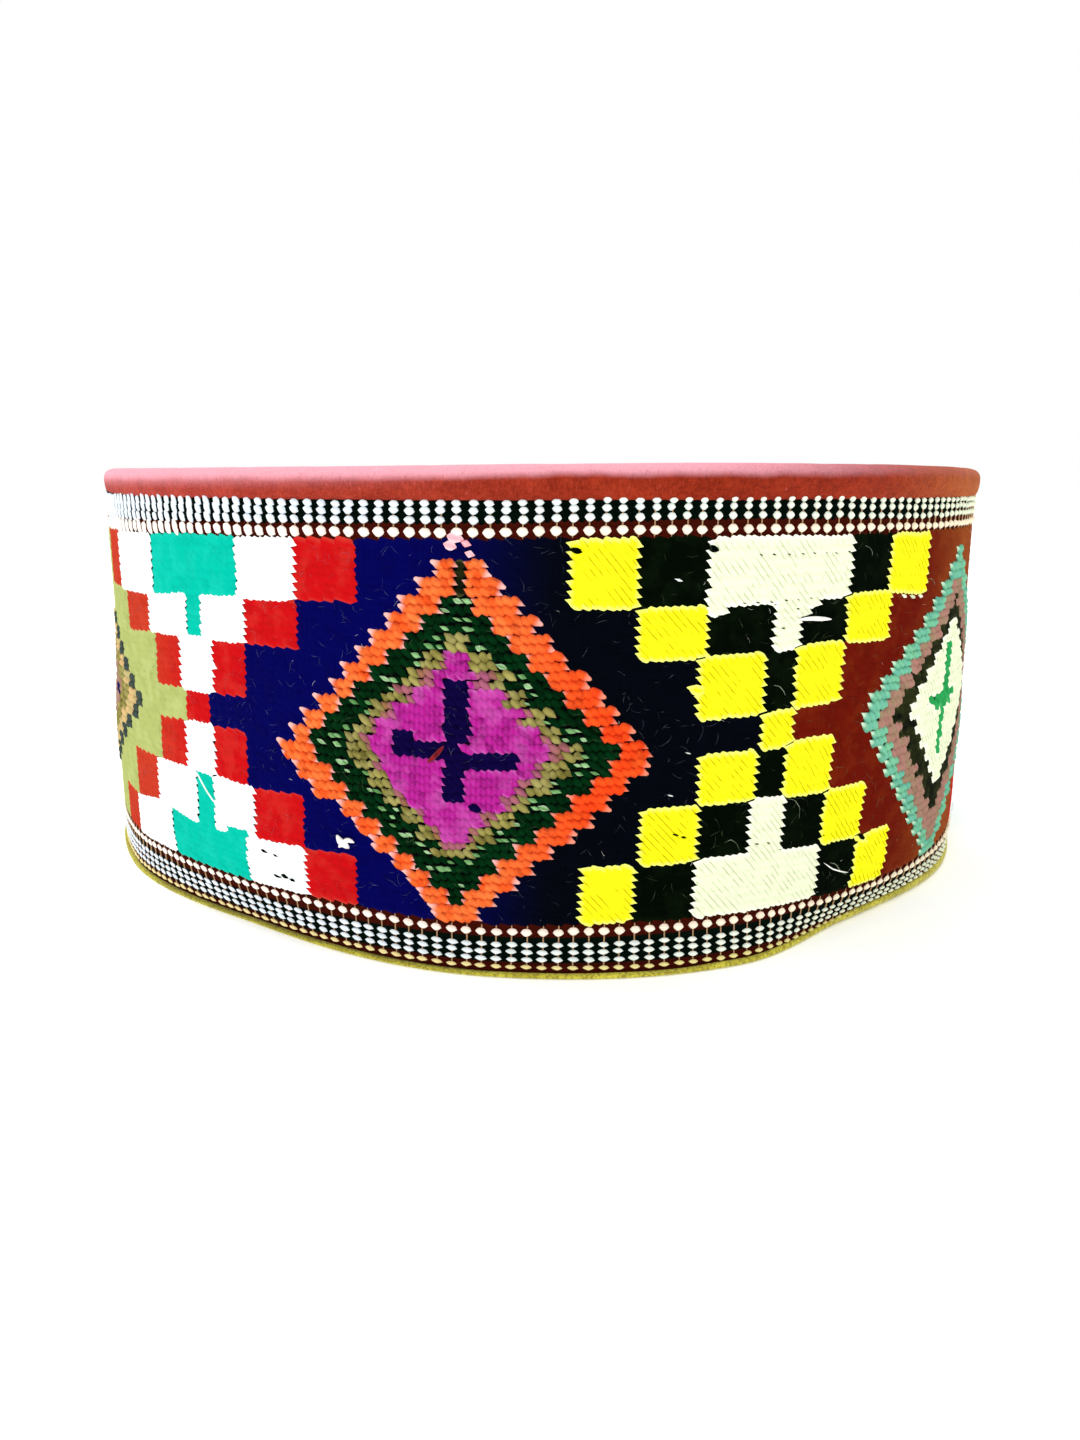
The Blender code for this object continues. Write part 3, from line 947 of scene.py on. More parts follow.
# %% Yarn finish
def yarn(name, body, deep, tip, drift=None, drift_from=0.0, drift_to=0.1, relief=1.0, contrast=1.0,
         mottle=0.0, other=None, twill=0.0, streaks=0.0, ribs=0.0, tips=0.9, drift_deep=None,
         drift_tip=None):
    """Wool yarn. drift_from and drift_to say where on the band, in repeats from its middle, the colours
    drift. other is a second colour that some floats take. The other numbers say how strong an effect is."""
    f = Finish("yarn_" + name)
    along, across = f.layer("thread")
    place, up = f.layer("place")
    each, tipness = f.layer("cast")
    where = f.point()
    line = f.node("ShaderNodeCombineXYZ", None, {0: along * 9.0, 1: across * 9.0, 2: each * 20.0})
    fibres = f.noise(line, 1.0, 3.0, 0.6)
    felt = f.noise(where, 1300.0, 3.0, 0.6)
    base = body
    if drift is not None:
        drifted = place.smooth(drift_from, drift_to)
        base = f.mix(body, drift, drifted)
        deep = deep if drift_deep is None else f.mix(deep, drift_deep, drifted)
        tip = tip if drift_tip is None else f.mix(tip, drift_tip, drifted)
    if other is not None:
        patches = f.noise(where, 330.0, 1.0).smooth(0.40, 0.60)
        base = f.mix(base, other, each.math("FRACT", each * 57.0) * 0.5 + patches * 0.5)
    shade = (fibres - 0.5) * 0.5 + (each - 0.5) * 0.34 + (felt - 0.5) * 0.4
    base = f.mix(base, deep, shade.smooth(0.0, 0.34) * (0.42 * contrast))
    # Painted shade: each float darkens towards its edges, where it dips between its neighbours
    middle = abs(across - 0.5) * 2.0
    base = f.mix(base, deep, middle ** 3.0 * (0.55 * relief))
    if streaks:
        upright = f.node("ShaderNodeCombineXYZ", None, {0: place * 260.0, 1: up * 14.0, 2: 0.0})
        base = f.mix(base, tip, f.noise(upright, 1.0, 3.0).smooth(0.52, 0.75) * streaks)
    if ribs:
        # Painted highlight along the middle of each rib, and painted shade at its sides
        rib = abs(place.math("FRACT", place * (3.0 * COLUMNS) + 600.0) - 0.5) * 2.0
        base = f.mix(base, tip, rib.smooth(0.75, 0.15) * (ribs * 0.6))
        base = f.mix(base, deep, rib.smooth(0.6, 1.0) * ribs)
    if mottle:
        patches = f.noise(where, 300.0, 3.0).smooth(0.45, 0.65)
        base = f.mix(base, tip, patches * mottle)
    if twill:
        # Painted shade in the slanting creases of the twill
        slant = (place * REPEAT + up * (HEIGHT * 0.9) + felt * 0.25) / (COLUMN / 2)
        crease_shade = abs(slant.math("FRACT", slant + 600.0) - 0.5) * 2.0
        broken = f.noise(where, 420.0, 1.0).smooth(0.36, 0.62)
        base = f.mix(base, deep, crease_shade.smooth(0.62, 0.98) * broken * twill)
    # Painted highlight: the teeth, and float edges beside another yarn, take the paler tip colour
    base = f.mix(base, tip, tipness.smooth(0.05, 0.75) * tips)
    height = fibres * 0.6 * relief + felt * 0.6
    normal = f.bump(height, 0.00022, 0.35 + 0.35 * relief)
    return f.done(base, felt * 0.12 + 0.84, normal, Specular_IOR_Level=0.02)


YARNS = {
    "yellow": yarn("yellow", colour(248, 242, 26), colour(150, 128, 0), colour(242, 252, 140), relief=0.3,
                   contrast=0.22, twill=0.75, tips=0.7),
    "white": yarn("white", colour(242, 248, 246), colour(190, 200, 200), colour(255, 255, 255), relief=0.2,
                  contrast=0.15, twill=0.15),
    "cream": yarn("cream", colour(232, 240, 206), colour(150, 160, 112), colour(252, 255, 236), relief=0.28,
                  contrast=0.18, twill=0.62),
    "orange": yarn("orange", colour(244, 124, 60), colour(146, 20, 6), colour(250, 198, 194),
                   colour(240, 66, 22), -0.45, -0.28, relief=1.4, contrast=1.4, other=colour(238, 88, 32),
                   drift_tip=colour(244, 150, 122)),
    "magenta": yarn("magenta", colour(172, 28, 138), colour(72, 2, 56), colour(218, 110, 196), relief=1.1,
                    ribs=0.10, contrast=2.0, mottle=0.26, tips=0.6),
    "dusk": yarn("dusk", colour(172, 92, 124), colour(70, 22, 40), colour(208, 150, 158), contrast=1.2,
                 other=colour(146, 108, 66), tips=0.5),
    "khaki": yarn("khaki", colour(166, 158, 88), colour(44, 44, 12), colour(202, 194, 134), relief=1.1,
                  contrast=1.6, other=colour(112, 104, 46), mottle=0.22, tips=0.5),
    "pale_green": yarn("pale_green", colour(150, 200, 138), colour(48, 96, 40), colour(212, 236, 198),
                       relief=0.8, other=colour(84, 138, 74), tips=0.6),
    "bottle": yarn("bottle", colour(1, 28, 8), colour(0, 7, 2), colour(12, 62, 26), contrast=1.2,
                   other=colour(3, 48, 18), tips=0.35),
    "indigo": yarn("indigo", colour(11, 3, 54), colour(2, 0, 16), colour(34, 14, 84), tips=0.5),
    "navy": yarn("navy", colour(2, 2, 76), colour(0, 0, 38), colour(18, 24, 104),
                 colour(2, 4, 11), -0.60, -0.34, relief=0.4, streaks=0.12, tips=0.12,
                 drift_deep=colour(0, 1, 4), drift_tip=colour(10, 15, 30)),
    "red": yarn("red", colour(184, 52, 30), colour(132, 14, 10), colour(214, 84, 66),
                colour(188, 13, 18), -1.22, -0.98, relief=0.4, contrast=0.9, mottle=0.12, tips=0.3),
    "teal": yarn("teal", colour(0, 182, 158), colour(0, 132, 112), colour(40, 210, 188), relief=0.3,
                 contrast=0.9, mottle=0.15, tips=0.3),
    "black": yarn("black", colour(1, 6, 1), colour(0, 2, 0), colour(16, 28, 10), relief=0.5, mottle=0.25,
                  tips=0.2),
    "brown": yarn("brown", colour(98, 17, 5), colour(64, 9, 2), colour(140, 58, 18),
                  colour(142, 66, 22), 0.30, 0.58, relief=0.3, mottle=0.16, tips=0.2,
                  drift_deep=colour(104, 42, 12), drift_tip=colour(168, 100, 44)),
    "olive": yarn("olive", colour(166, 176, 102), colour(126, 138, 70), colour(204, 212, 148), relief=0.3,
                  mottle=0.2, tips=0.3),
    "mint": yarn("mint", colour(124, 194, 152), colour(28, 88, 64), colour(218, 244, 212), relief=1.1,
                 contrast=1.1, other=colour(106, 182, 158)),
    "rose": yarn("rose", colour(168, 120, 110), colour(96, 54, 50), colour(200, 156, 146), relief=0.6,
                 contrast=1.1, other=colour(150, 128, 100), tips=0.3),
    "soot": yarn("soot", colour(10, 16, 6), colour(2, 4, 0), colour(88, 92, 52), other=colour(40, 44, 18),
                 tips=0.6),
    "leaf": yarn("leaf", colour(44, 160, 84), colour(14, 104, 42), colour(120, 210, 140), tips=0.4),
    "slate": yarn("slate", colour(66, 78, 72), colour(26, 34, 34), colour(130, 140, 124)),
    "peach": yarn("peach", colour(222, 180, 126), colour(170, 128, 78), colour(240, 214, 172),
                  other=colour(178, 172, 116)),
}
print("yarns:", len(YARNS))

# %% [markdown]
# ## Weaving the field
# Each run is cut at the twill columns, and each cut becomes one float. Pieces shorter than half a column
# join the float beside them. Bright yarns are thicker and lie on top, with long teeth. Dark and felted
# yarns lie lower with short ones, and their floats nearly melt together, so they rise less.

# %% Kinds of float
OVERLAP = 0.34
# Width as a share of a row, then rise, base height, tooth length and how far a tooth starts inside its
# run in millimetres, and how far a float falls across one column as a share of a row
BRIGHT = (1.30, 0.22, 0.16, 1.14, 0.20, 0.60)
FINGERS = (1.06, 0.42, 0.16, 1.55, 0.40, 0.80)
LEAFY = (1.02, 0.38, 0.16, 1.15, 0.35, 0.90)
SMALL = (0.56, 0.30, 0.26, 0.36, 0.04, 0.60)
PICKED = (0.90, 0.36, 0.08, 0.45, 0.15, 1.30)
RIBBED = (1.12, 0.30, 0.10, 0.55, 0.20, 1.10)
FELTED = (1.40, 0.12, 0.02, 0.30, 0.00, 0.45)
# Yarns that aren't named here are felted
BUILD = {
    "yellow": BRIGHT, "white": BRIGHT, "cream": BRIGHT, "orange": FINGERS, "mint": LEAFY,
    "pale_green": SMALL, "magenta": RIBBED, "khaki": PICKED, "dusk": PICKED, "indigo": RIBBED,
    "bottle": PICKED, "leaf": RIBBED,
    "slate": PICKED, "peach": PICKED, "rose": RIBBED,
}
# Yarns that float over half a column only: all that aren't felted, but for the leaf green
SHORT = tuple(name for name in BUILD if name != "leaf")
# How long a tooth is beside a certain yarn, as a share: short where the other yarn is as thick
BESIDE = {
    ("white", "teal"): 0.35, ("orange", "bottle"): 0.66, ("orange", "soot"): 0.45, ("mint", "rose"): 0.5,
    ("orange", "khaki"): 0.5, ("orange", "pale_green"): 0.5, ("magenta", "indigo"): 1.7,
}
# The orange yarn ends in short teeth on its right, and on the left the lower of two teeth is the shorter
# one
TEETH_RIGHT = {"orange": 0.72}
LOWER_TOOTH = 0.72
print("yarns with short floats:", len(SHORT))


# %% Cutting runs into floats
def cut_run(start, end, column, offset, chance):
    """Cuts a run into floats, a list of (from, to). offset shifts the cuts of a row, as a twill does."""
    first, last = math.floor((start - offset) / column) + 1, math.ceil((end - offset) / column)
    inner = [offset + i * column + chance.normal() * 0.10 * column for i in range(first, last)]
    cuts = [start] + [cut for cut in inner if start + 0.2 < cut < end - 0.2] + [end]
    if len(cuts) > 2 and cuts[1] - cuts[0] < column * 0.5:
        cuts.pop(1)
    if len(cuts) > 2 and cuts[-1] - cuts[-2] < column * 0.5:
        cuts.pop(-2)
    return list(zip(cuts[:-1], cuts[1:]))


def yarn_at(row, place):
    """The yarn that shows in a row at a place, or none beyond the field."""
    if not 0 <= row < ROWS:
        return None
    for start, end, name in chart[int(row)]:
        if start <= place < end:
            return name
    return None


def float_of(name, a, b, row, build, reach_a, reach_b, chance):
    """One float as a row of numbers for stitches(). A reach above 0 is the length of a tooth at that end."""
    share, rise, base, _, inset, drop = build
    reach_a *= chance.uniform(0.75, 1.20)
    reach_b *= chance.uniform(0.75, 1.20)
    if build is not FINGERS:
        reach_a, reach_b = min(reach_a, FINGER), min(reach_b, FINGER)
    overlap = 0.12 if build in (SMALL, PICKED) else OVERLAP
    left = a - reach_a + inset if reach_a else a - overlap
    right = b + reach_b - inset if reach_b else b + overlap
    middle = FIELD_FOOT + (row + 0.5) * ROW + chance.normal() * 0.045
    slope = drop * ROW / COLUMN
    fall = slope * (right - left) / 2
    uneven = 0.35 if build is SMALL else 0.06
    width = ROW * share * chance.uniform(1 - uneven, 1 + uneven)
    rise *= chance.uniform(0.85, 1.15)
    pale_above = float(yarn_at(row + 1, (a + b) / 2) != name)
    pale_below = float(yarn_at(row - 1, (a + b) / 2) != name)
    body = (left, middle + fall, right, middle - fall, width, rise, base)
    return body + (reach_a, reach_b, pale_above, pale_below)


print("yarn in the middle of the first row:", yarn_at(0, 0.0))

# %% Field
floats = {name: [] for name in YARNS}
weave_chance = np.random.default_rng(19)
for row, runs in enumerate(chart):
    for start, end, name in runs:
        start, end = max(start, -BAND_END + 0.2), min(end, BAND_END - 0.2)
        if end - start < 0.3:
            continue
        build = BUILD.get(name, FELTED)
        column = COLUMN / 2 if name in SHORT else COLUMN
        offset = row * 0.37 * COLUMN if build is BRIGHT else 0.0
        pieces_of_run = cut_run(start, end, column, offset, weave_chance)
        # Of two rows that share one width, the upper one has the longer teeth
        length = build[3] * (LOWER_TOOTH if build is FINGERS and row % 2 == 0 else 1.0)
        reach_left = length * BESIDE.get((name, yarn_at(row, start - 0.3)), 1.0)
        reach_right = build[3] * BESIDE.get((name, yarn_at(row, end + 0.3)), TEETH_RIGHT.get(name, 1.0))
        for i, (a, b) in enumerate(pieces_of_run):
            reach_a = reach_left if i == 0 else 0.0
            reach_b = reach_right if i == len(pieces_of_run) - 1 else 0.0
            floats[name].append(float_of(name, a, b, row, build, reach_a, reach_b, weave_chance))
print("floats in the field:", sum(len(rows) for rows in floats.values()))

# %% [markdown]
# A few picks don't follow the rules: small pink picks stand above the diamond, pinholes run through the
# cream block, and here and there a pick of the wrong colour shows. They are added one by one, each lying
# on top of the others.

# %% Extra picks
# Yarn, from, to, row (a half row is allowed) and thickness as a share of a row
EXTRA_PICKS = (
    ("pink", -49.4, -47.9, 44.3, 1.2), ("pink", -49.9, -48.4, 43.5, 1.1), ("pink", -48.4, -47.4, 44.3, 0.9),
    ("pink", -47.4, -46.4, 43.7, 0.8), ("pink", -46.8, -45.9, 42.6, 0.9),
    ("indigo", -46.2, -44.4, 14.4, 1.0),
    ("black", -82.2, -80.9, 5.6, 0.4), ("black", -79.6, -78.8, 5.3, 0.3), ("black", -79.9, -78.8, 2.0, 0.5),
    ("black", -78.3, -77.0, 2.3, 0.8), ("black", -76.6, -75.7, 1.9, 0.4),
    ("black", -32.3, -30.9, 42.9, 0.7), ("black", -12.8, -11.4, 42.9, 0.8),
    ("white", -17.4, -16.6, 39.9, 0.3), ("cream", 25.4, 26.4, 36.5, 0.5), ("cream", 28.0, 29.0, 36.5, 0.5),
    ("cream", 30.6, 31.6, 36.6, 0.5), ("black", -16.0, -15.2, 10.6, 0.35),
    ("black", -14.8, -14.0, 10.3, 0.35),
    ("white", -14.5, -14.1, 20.4, 0.3), ("white", -16.9, -16.5, 15.6, 0.35),
)
PICK_TOOTH = 0.25
HOLE_TOOTH = 0.14
# Rows of small dark holes: row, from, to
PINHOLES = ((42.2, -6.0, 12.0), (37.2, -7.4, 6.0), (33.8, -1.0, 0.5), (8.2, -8.0, 12.0))
pink = yarn("pink", colour(255, 178, 186), colour(200, 96, 110), colour(255, 214, 220))
picks = {}
for name, a, b, row, thick in EXTRA_PICKS:
    build = (thick, 0.30, 0.34, PICK_TOOTH, 0.0, 0.5)
    pick = float_of(name, a, b, row - 0.5, build, PICK_TOOTH, PICK_TOOTH, weave_chance)
    picks.setdefault(name, []).append(pick)
for row, first, last in PINHOLES:
    for place in np.arange(math.ceil(first / COLUMN) * COLUMN, last, COLUMN):
        place += weave_chance.normal() * 0.12
        size = weave_chance.uniform(0.16, 0.40)
        build = (0.30 + size * 0.4, 0.05, 0.42, HOLE_TOOTH, 0.0, 0.5)
        a, b = place - size / 2, place + size / 2
        hole = float_of("black", a, b, row - 0.5, build, HOLE_TOOTH, HOLE_TOOTH, weave_chance)
        picks.setdefault("black", []).append(hole)
for name, rows in floats.items():
    if rows:
        # The long teeth need the most points, and the flat felted floats the fewest
        along_steps = {FINGERS: 15, FELTED: 7}.get(BUILD.get(name, FELTED), 8)
        stitch_piece("yarn_" + name, rows, YARNS[name], along_steps, 5)
for name, rows in picks.items():
    stitch_piece("picks_" + name, rows, pink if name == "pink" else YARNS[name], 7, 5)

# %% [markdown]
# ## The dotted borders
# Along both edges run rows of dots, one dot to each twill column: a row of large cream dots next to the
# field, then three rows of white ones on blue-black, then, at the foot, a last cream row. A dot is a very
# short float, so the same patches serve, with blunt ends. Dark floats fill the spaces between, and a thin
# pale warp thread ties the dots of a column together.

# %% Borders
def border_yarn(name, light, deep, relief=0.35, drift=None):
    """A plain yarn for the borders. drift is the colour that it takes towards the right."""
    return yarn(name, light, deep, light, drift, -0.9, 0.5, relief=relief, contrast=0.6)


dot_white = border_yarn("dot_white", colour(230, 238, 246), colour(120, 146, 160), 0.6,
                        colour(238, 243, 214))
dot_cream = border_yarn("dot_cream", colour(250, 240, 230), colour(206, 150, 124), 0.5,
                        colour(248, 236, 206))
dot_foot = border_yarn("dot_foot", colour(240, 222, 160), colour(170, 134, 60), 0.6, colour(226, 216, 140))
dot_night = border_yarn("dot_night", colour(1, 10, 5), colour(0, 3, 1), 0.8)
dot_maroon = border_yarn("dot_maroon", colour(62, 12, 5), colour(24, 4, 1), 0.8)
# Height, then dot width and dot height on the left and on the right, power of the outline, finishes of
# dots and fill
BORDER_ROWS = (
    (1.66, 2.00, 0.78, 1.60, 0.74, 1.9, "foot", "maroon"),
    (2.96, 2.04, 0.94, 1.70, 0.86, 1.9, "white", "night"),
    (4.12, 2.04, 0.96, 1.72, 0.88, 1.9, "white", "night"),
    (5.28, 2.04, 0.96, 1.74, 0.88, 1.9, "white", "night"),
    (7.40, 1.90, 1.26, 1.68, 1.26, 2.3, "cream", "maroon"),
    (65.80, 1.96, 1.50, 1.66, 1.18, 2.4, "cream", "maroon"),
    (67.45, 1.86, 1.20, 1.34, 1.06, 2.4, "white", "night"),
    (68.72, 1.84, 1.20, 1.24, 1.06, 2.4, "white", "night"),
    (69.72, 1.80, 1.16, 1.18, 1.00, 2.4, "white", "night"),
)
DOTS = {"white": dot_white, "cream": dot_cream, "foot": dot_foot, "night": dot_night, "maroon": dot_maroon}
FILL_HALF = 0.62
LOWER_SHIFT = 0.5
dot_rows = {name: [] for name in DOTS}
dot_chance = np.random.default_rng(29)
columns = range(math.ceil((-BAND_END + 1.2) / COLUMN), math.floor((BAND_END - 1.2) / COLUMN) + 1)
for height, wide_left, tall_left, wide_right, tall_right, power, dot_name, fill_name in BORDER_ROWS:
    for i in columns:
        upper_border = height > FIELD_TOP
        middle = i * COLUMN + dot_chance.normal() * 0.07 - (0.0 if upper_border else LOWER_SHIFT)
        to_right = min(max((middle + 90.0) / 80.0, 0.0), 1.0)
        to_left = float(ease(-middle, 60.0, 105.0))
        wide = wide_left + (wide_right - wide_left) * to_right
        tall = tall_left + (tall_right - tall_left) * to_right
        half = wide / 2 * dot_chance.uniform(0.93, 1.06)
        half *= 1 - 0.16 * float(ease(middle, 40.0, 75.0)) - (0.22 * to_left if upper_border else 0.0)
        level = height + dot_chance.normal() * 0.05
        leaning = 0.50 if upper_border else 0.08
        tilt = (0.13 - 0.09 * to_right + leaning * to_left) * tall * dot_chance.uniform(0.6, 1.4)
        rise = (0.40 if dot_name == "cream" else 0.34) * (1 - 0.45 * to_left)
        tall *= dot_chance.uniform(0.93, 1.07) * (1 + (0.10 if upper_border else -0.06) * to_left)
        ends = (middle - half, level + tilt, middle + half, level - tilt)
        dot_rows[dot_name].append((*ends, tall, rise, 0.12, power * 1.35, power * 0.8, 0, 0))
        gap = middle + COLUMN / 2
        ends = (gap - FILL_HALF, level + 0.15, gap + FILL_HALF, level - 0.15)
        dot_rows[fill_name].append((*ends, tall * 1.1, 0.14, 0.0, 2.0, 2.0, 0, 0))
for name, rows in dot_rows.items():
    # The dark fill lies low and needs fewer points than the round dots
    along_steps, across_steps = (7, 4) if name in ("night", "maroon") else (9, 6)
    stitch_piece("dots_" + name, rows, DOTS[name], along_steps, across_steps, lens=True)

warp_tan = border_yarn("warp_tan", colour(176, 140, 104), colour(90, 60, 40))
warp_rows = []
for low, high in ((1.2, 8.6), (64.9, 70.4)):
    for i in columns:
        middle = i * COLUMN + dot_chance.normal() * 0.05 - (LOWER_SHIFT if low < FIELD_FOOT else 0.0)
        warp_rows.append((middle + 0.02, low, middle, high, 0.22, 0.12, 0.06, 0, 0, 0, 0))
stitch_piece("warp_threads", warp_rows, warp_tan, 10, 3)

# %% [markdown]
# ## Thread ends, lint and seams
# A worn hand-woven band sheds: a white end lies over a black block, a loop stands on the teal one, and
# fine hairs and specks of lint show best on the dark yarns. Each is a thin tapered tube along a few
# points. At the band's two ends the cloth is turned in and sewn down with slanting stitches.

# %% Threads
def unit(vectors):
    """The same directions at length 1."""
    return vectors / (np.linalg.norm(vectors, axis=-1, keepdims=True) + 1e-9)


def thread_patches(paths, radii, sides):
    """Tubes along paths. All paths have the same number of points, and each radius tapers to its ends."""
    paths = np.asarray(paths, float)
    count, steps = paths.shape[:2]
    heading = unit(np.gradient(paths, axis=1))
    away = unit(paths * [1.0, 1.0, 0.0])
    side = unit(np.cross(heading, away))
    third = np.cross(side, heading)
    turn = np.linspace(0, 2 * math.pi, sides, endpoint=False)
    t = np.linspace(0, 1, steps)
    taper = np.sqrt(np.clip(np.sin(math.pi * np.clip(t, 0.01, 0.99)), 0, 1))[None, :, None, None]
    radius = np.asarray(radii, float)[:, None, None, None] * np.maximum(taper, 0.12)
    cosine, sine = np.cos(turn)[None, None, :, None], np.sin(turn)[None, None, :, None]
    ring = cosine * side[:, :, None] + sine * third[:, :, None]
    points = paths[:, :, None] + ring * radius
    return points, patch_faces(count, steps, sides, close_columns=True)


def fibre(name, light, deep):
    """The finish of a loose thread or a hair."""
    f = Finish(name)
    tone = f.noise(f.point(), 900.0, 2.0)
    return f.done(f.mix(deep, light, tone.smooth(0.35, 0.65)), tone * 0.1 + 0.8, f.bump(tone, 0.0001, 0.5),
                  Sheen_Weight=0.1, Specular_IOR_Level=0.05)


def smooth_path(points, steps=24):
    """A path through a few (along, height, outset) points, evenly cut."""
    points = np.asarray(points, float)
    knots = np.linspace(0, 1, len(points))
    t = np.linspace(0, 1, steps)
    along, height, out = (np.interp(t, knots, points[:, k]) for k in range(3))
    for _ in range(3):
        for line in (along, height, out):
            line[1:-1] = (line[:-2] + 2 * line[1:-1] + line[2:]) / 4
    return on_band(along, height, out)


# Radius, then points along the thread: along the band, height, outset
LOOSE_BRIGHT = (
    (0.34, ((2.3, 52.9, 0.3), (4.4, 52.8, 0.5), (6.4, 52.5, 0.5), (8.5, 52.2, 0.3))),
    (0.12, ((-98.6, 26.4, 0.1), (-97.0, 26.6, 0.5), (-94.4, 24.2, 0.6), (-92.6, 22.6, 0.5),
            (-90.3, 21.4, 0.2))),
    (0.12, ((12.2, 14.6, 0.1), (14.0, 13.4, 0.45), (16.4, 12.6, 0.5), (18.7, 11.9, 0.1))),
    (0.55, ((-67.2, 20.8, 0.1), (-66.3, 20.0, 0.5), (-65.6, 19.6, 0.5), (-65.0, 19.0, 0.2))),
    (0.42, ((-66.9, 18.9, 0.1), (-66.0, 19.6, 0.6), (-65.0, 20.5, 0.6), (-64.2, 20.0, 0.1))),
)
LOOSE_FAINT = (
    (0.045, ((14.6, 63.2, 0.1), (15.3, 62.9, 0.4), (16.0, 62.2, 0.4), (16.4, 61.5, 0.1))),
    (0.045, ((32.4, 58.0, 0.1), (33.6, 57.9, 0.4), (34.6, 57.4, 0.4), (35.6, 56.8, 0.1))),
    (0.05, ((-1.2, 43.4, 0.1), (-0.4, 43.2, 0.4), (0.4, 42.4, 0.4), (1.0, 41.6, 0.1))),
    (0.05, ((-7.8, 20.2, 0.1), (-7.0, 20.8, 0.5), (-6.0, 20.0, 0.5), (-5.2, 18.6, 0.1))),
    (0.045, ((2.6, 26.4, 0.1), (4.0, 26.2, 0.5), (5.2, 24.8, 0.5), (5.6, 22.9, 0.1))),
    (0.06, ((13.6, 14.4, 0.1), (14.6, 14.2, 0.5), (16.2, 12.6, 0.5), (18.4, 11.6, 0.1))),
)
LOOSE_RED = (
    (0.36, ((-52.4, 33.8, 0.1), (-51.6, 34.4, 0.3), (-50.6, 35.5, 0.3), (-49.9, 36.4, 0.1))),
)


def thread_piece(name, threads, finish, sides):
    """The threads of a table as one piece."""
    paths = [smooth_path(path) for _, path in threads]
    points, faces = thread_patches(paths, [radius for radius, _ in threads], sides)
    new_piece(name, points, faces, finish)
    print(f"{name}: {len(faces)} faces")


pale_fibre = fibre("fibre_pale", colour(255, 255, 250), colour(232, 232, 222))
red_fibre = fibre("fibre_red", colour(140, 22, 32), colour(92, 8, 22))
thread_piece("loose_threads", LOOSE_BRIGHT, pale_fibre, 8)
faint_fibre = fibre("fibre_faint", colour(132, 146, 122), colour(70, 84, 62))
thread_piece("faint_threads", LOOSE_FAINT, faint_fibre, 5)
thread_piece("red_thread", LOOSE_RED, red_fibre, 8)

# %% [markdown]
# The hairs come from a seeded generator, so that every run gives the same cap. Each bends once on its way
# and lies nearly flat. The navy fuzz, the dark fuzz and the pale lint differ only in the yarns that they
# grow on and in their number, size and colour.

# %% Hairs
def hair_paths(roots, headings, lifts, lengths, chance, steps=5):
    """Short bent hairs from roots, along headings, lifted away from the surface."""
    t = np.linspace(0, 1, steps)[None, :, None]
    bend = np.cross(headings, lifts) * chance.normal(size=(len(roots), 1)) * 0.5
    rise = np.sin(math.pi * t * 0.8) * 0.5 * chance.uniform(0.2, 1.0, size=(len(roots), 1, 1))
    return roots[:, None] + lengths[:, None, None] * (headings[:, None] * t + bend[:, None] * t ** 2
                                                       + lifts[:, None] * rise * 0.5)


def band_hairs(name, count, yarns, finish, seed, reach, radius):
    """Hairs that grow on floats of some yarns, and so never lie on the bright ones."""
    chance = np.random.default_rng(seed)
    homes = np.concatenate([np.array(floats[yarn_name]) for yarn_name in yarns if floats[yarn_name]])
    homes = homes[chance.integers(0, len(homes), count)]
    share = chance.uniform(0.2, 0.8, count)
    along = homes[:, 0] * (1 - share) + homes[:, 2] * share
    height = homes[:, 1] * (1 - share) + homes[:, 3] * share
    roots = on_band(along, height, np.full(count, 0.02))
    sway = chance.normal(size=count) * 1.2
    ahead = unit(on_band(along + 1.0, height + sway, np.full(count, 0.02)) - roots)
    ahead *= np.where(chance.random(count) < 0.5, -1, 1)[:, None]
    lifts = unit(on_band(along, height, np.full(count, 1.0)) - roots)
    lengths = chance.uniform(*reach, count)
    paths = hair_paths(roots, ahead, lifts, lengths, chance)
    points, faces = thread_patches(paths, chance.uniform(0.6, 1.2, count) * radius, 3)
    new_piece(name, points, faces, finish)
    print(f"{name}: {count} hairs")


grey_fibre = fibre("fibre_grey", colour(96, 108, 120), colour(34, 42, 60))
band_hairs("fuzz_navy", 900, ("navy", "indigo", "red"), grey_fibre, 41, (0.5, 1.7), 0.016)
moss_fibre = fibre("fibre_moss", colour(92, 112, 76), colour(34, 48, 28))
band_hairs("fuzz_dark", 420, ("black", "bottle", "soot", "brown"), moss_fibre, 42, (0.6, 2.0), 0.018)
band_hairs("fuzz_lint", 60, ("black", "navy", "brown"), pale_fibre, 43, (0.4, 1.2), 0.016)

# %% [markdown]
# ## Sewing at the band's ends
# The band's two ends are turned in and overcast to the wall. Short slanting stitches in dark thread, one
# every three millimetres, cross from the fold on to the wool.

# %% End stitches
end_paths = []
for side in (-1, 1):
    for height in np.arange(4.0, 69.0, 3.0):
        edge = side * BAND_END
        start = on_band(edge - side * 1.6, height + 0.9, 0.12)
        over = on_band(edge + side * 0.2, height, 0.05)
        down = on_band(edge + side * 1.3, height - 0.8, -1.62)
        t = np.linspace(0, 1, 9)[:, None]
        # A curve from the start to the foot that bulges over the fold
        end_paths.append((1 - t) ** 2 * start + 2 * t * (1 - t) * (over * 1.004) + t ** 2 * down)
end_points, end_faces = thread_patches(end_paths, [0.26] * len(end_paths), 6)
dark_thread = fibre("sewing_thread", colour(92, 34, 24), colour(44, 12, 10))
new_piece("end_stitches", end_points, end_faces, dark_thread)
print("stitches at the ends:", len(end_paths))

# %% [markdown]

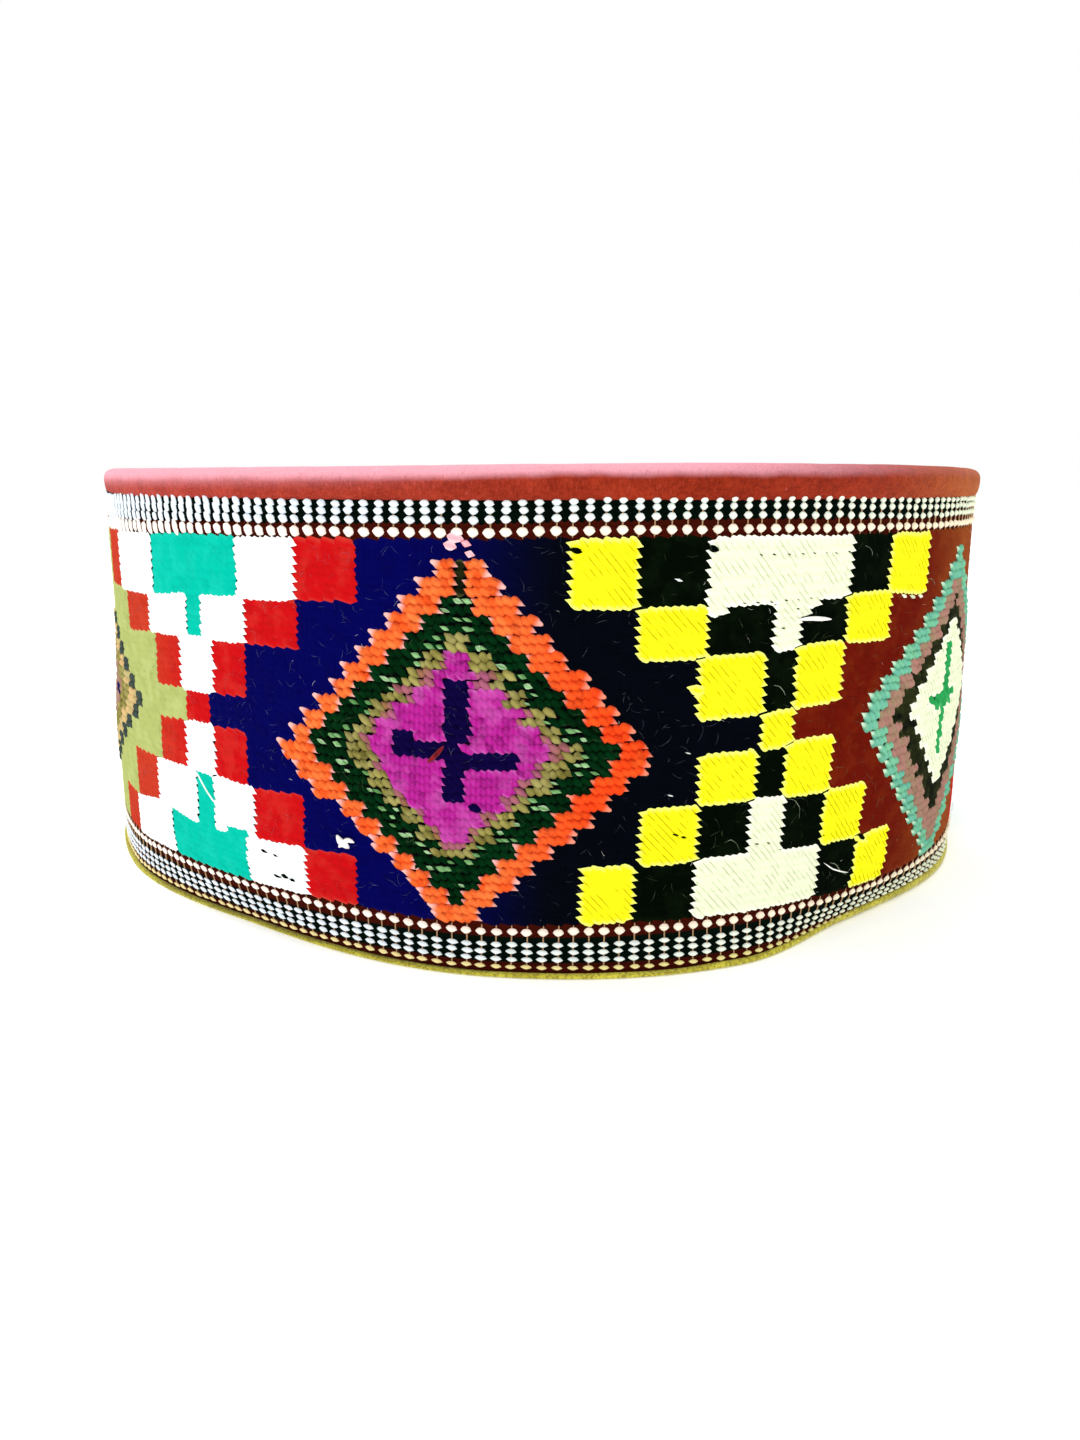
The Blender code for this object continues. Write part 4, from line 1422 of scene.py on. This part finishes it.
# %% [markdown]
# ## Camera, floor and light
# The photograph was taken from close by, so the cap's sides fall away quickly. The camera stands at the
# same place: level with the roll, looking a little down, 24 cm from the cap's middle, and 22 degrees to
# one side of its front. The light is even and bright: a white sky, one broad lamp above that lights the
# pale line along the roll, which is also a painted highlight in the roll's colour, and one from the front
# and left that gives the floats their small shadows.

# %% Camera
camera_data = bpy.data.cameras.new("camera")
camera_data.sensor_width = 36.0
camera_data.lens = 25.87
camera_data.clip_start = 0.01
camera = bpy.data.objects.new("camera", camera_data)
camera.location = (-0.0902, -0.2224, 0.0730)
camera.rotation_euler = (math.radians(90 - 13.1), 0.0, math.radians(-22.7))
bpy.context.scene.collection.objects.link(camera)
bpy.context.scene.camera = camera
bpy.context.scene.view_settings.view_transform = "Standard"
print("camera:", tuple(round(value, 4) for value in camera.location))

# %% Floor
floor_finish = Finish("floor_paint")
floor_where = floor_finish.point()
floor_x, floor_y = floor_finish.parts(floor_where)
floor_far = ((floor_x ** 2.0 + floor_y ** 2.0) ** 0.5).smooth(0.25, 1.6)
floor_grain = floor_finish.noise(floor_where, 40.0, 3.0)
floor_near = floor_finish.mix((0.96, 0.96, 0.955, 1.0), (0.98, 0.98, 0.975, 1.0), floor_grain)
floor_base = floor_finish.mix(floor_near, (0.99, 0.99, 0.99, 1.0), floor_far)
floor_finish.done(floor_base, 0.9, Specular_IOR_Level=0.1, Emission_Color=(1.0, 1.0, 1.0, 1.0),
                  Emission_Strength=0.22)
FLOOR_RADII = (0.3, 1.0, 6.0)
floor_mesh = bpy.data.meshes.new("floor")
floor_angle = ring_angle[::6]
floor_rings = [(r * math.cos(a), r * math.sin(a), 0.0) for r in FLOOR_RADII for a in floor_angle]
floor_sides = len(floor_angle)
floor_faces = [tuple(range(floor_sides))]
for ring in range(len(FLOOR_RADII) - 1):
    for i in range(floor_sides):
        j = (i + 1) % floor_sides
        a, b = ring * floor_sides, (ring + 1) * floor_sides
        floor_faces.append((a + i, b + i, b + j, a + j))
floor_mesh.from_pydata(floor_rings, [], floor_faces)
floor_mesh.materials.append(floor_finish.material)
floor = bpy.data.objects.new("floor", floor_mesh)
bpy.context.scene.collection.objects.link(floor)
print("floor:", len(floor_faces), "faces")

# %% Light
world = bpy.data.worlds.new("sky")
world.use_nodes = True
world.node_tree.nodes["Background"].inputs["Color"].default_value = (1.0, 1.0, 1.0, 1.0)
world.node_tree.nodes["Background"].inputs["Strength"].default_value = 1.0
bpy.context.scene.world = world


def lamp(name, place, target, size, power, tint=(1.0, 1.0, 1.0)):
    """A round lamp at a place that points at a target. size is its width in metres, power is in watts."""
    data = bpy.data.lights.new(name, "AREA")
    data.shape = "DISK"
    data.size = size
    data.energy = power
    data.color = tint
    light = bpy.data.objects.new(name, data)
    light.location = place
    heading = np.array(target) - np.array(place)
    yaw = math.atan2(heading[1], heading[0])
    pitch = math.atan2(math.hypot(heading[0], heading[1]), -heading[2])
    light.rotation_euler = (pitch, 0.0, yaw - math.pi / 2)
    bpy.context.scene.collection.objects.link(light)
    print(f"{name}: {power} W")


lamp("lamp_above", (-0.15, 0.25, 0.9), (0.0, 0.0, 0.05), 0.5, 5.0, (0.96, 0.97, 1.0))
lamp("lamp_front", (-0.75, -0.8, 0.75), (0.0, 0.0, 0.04), 0.35, 2.6)
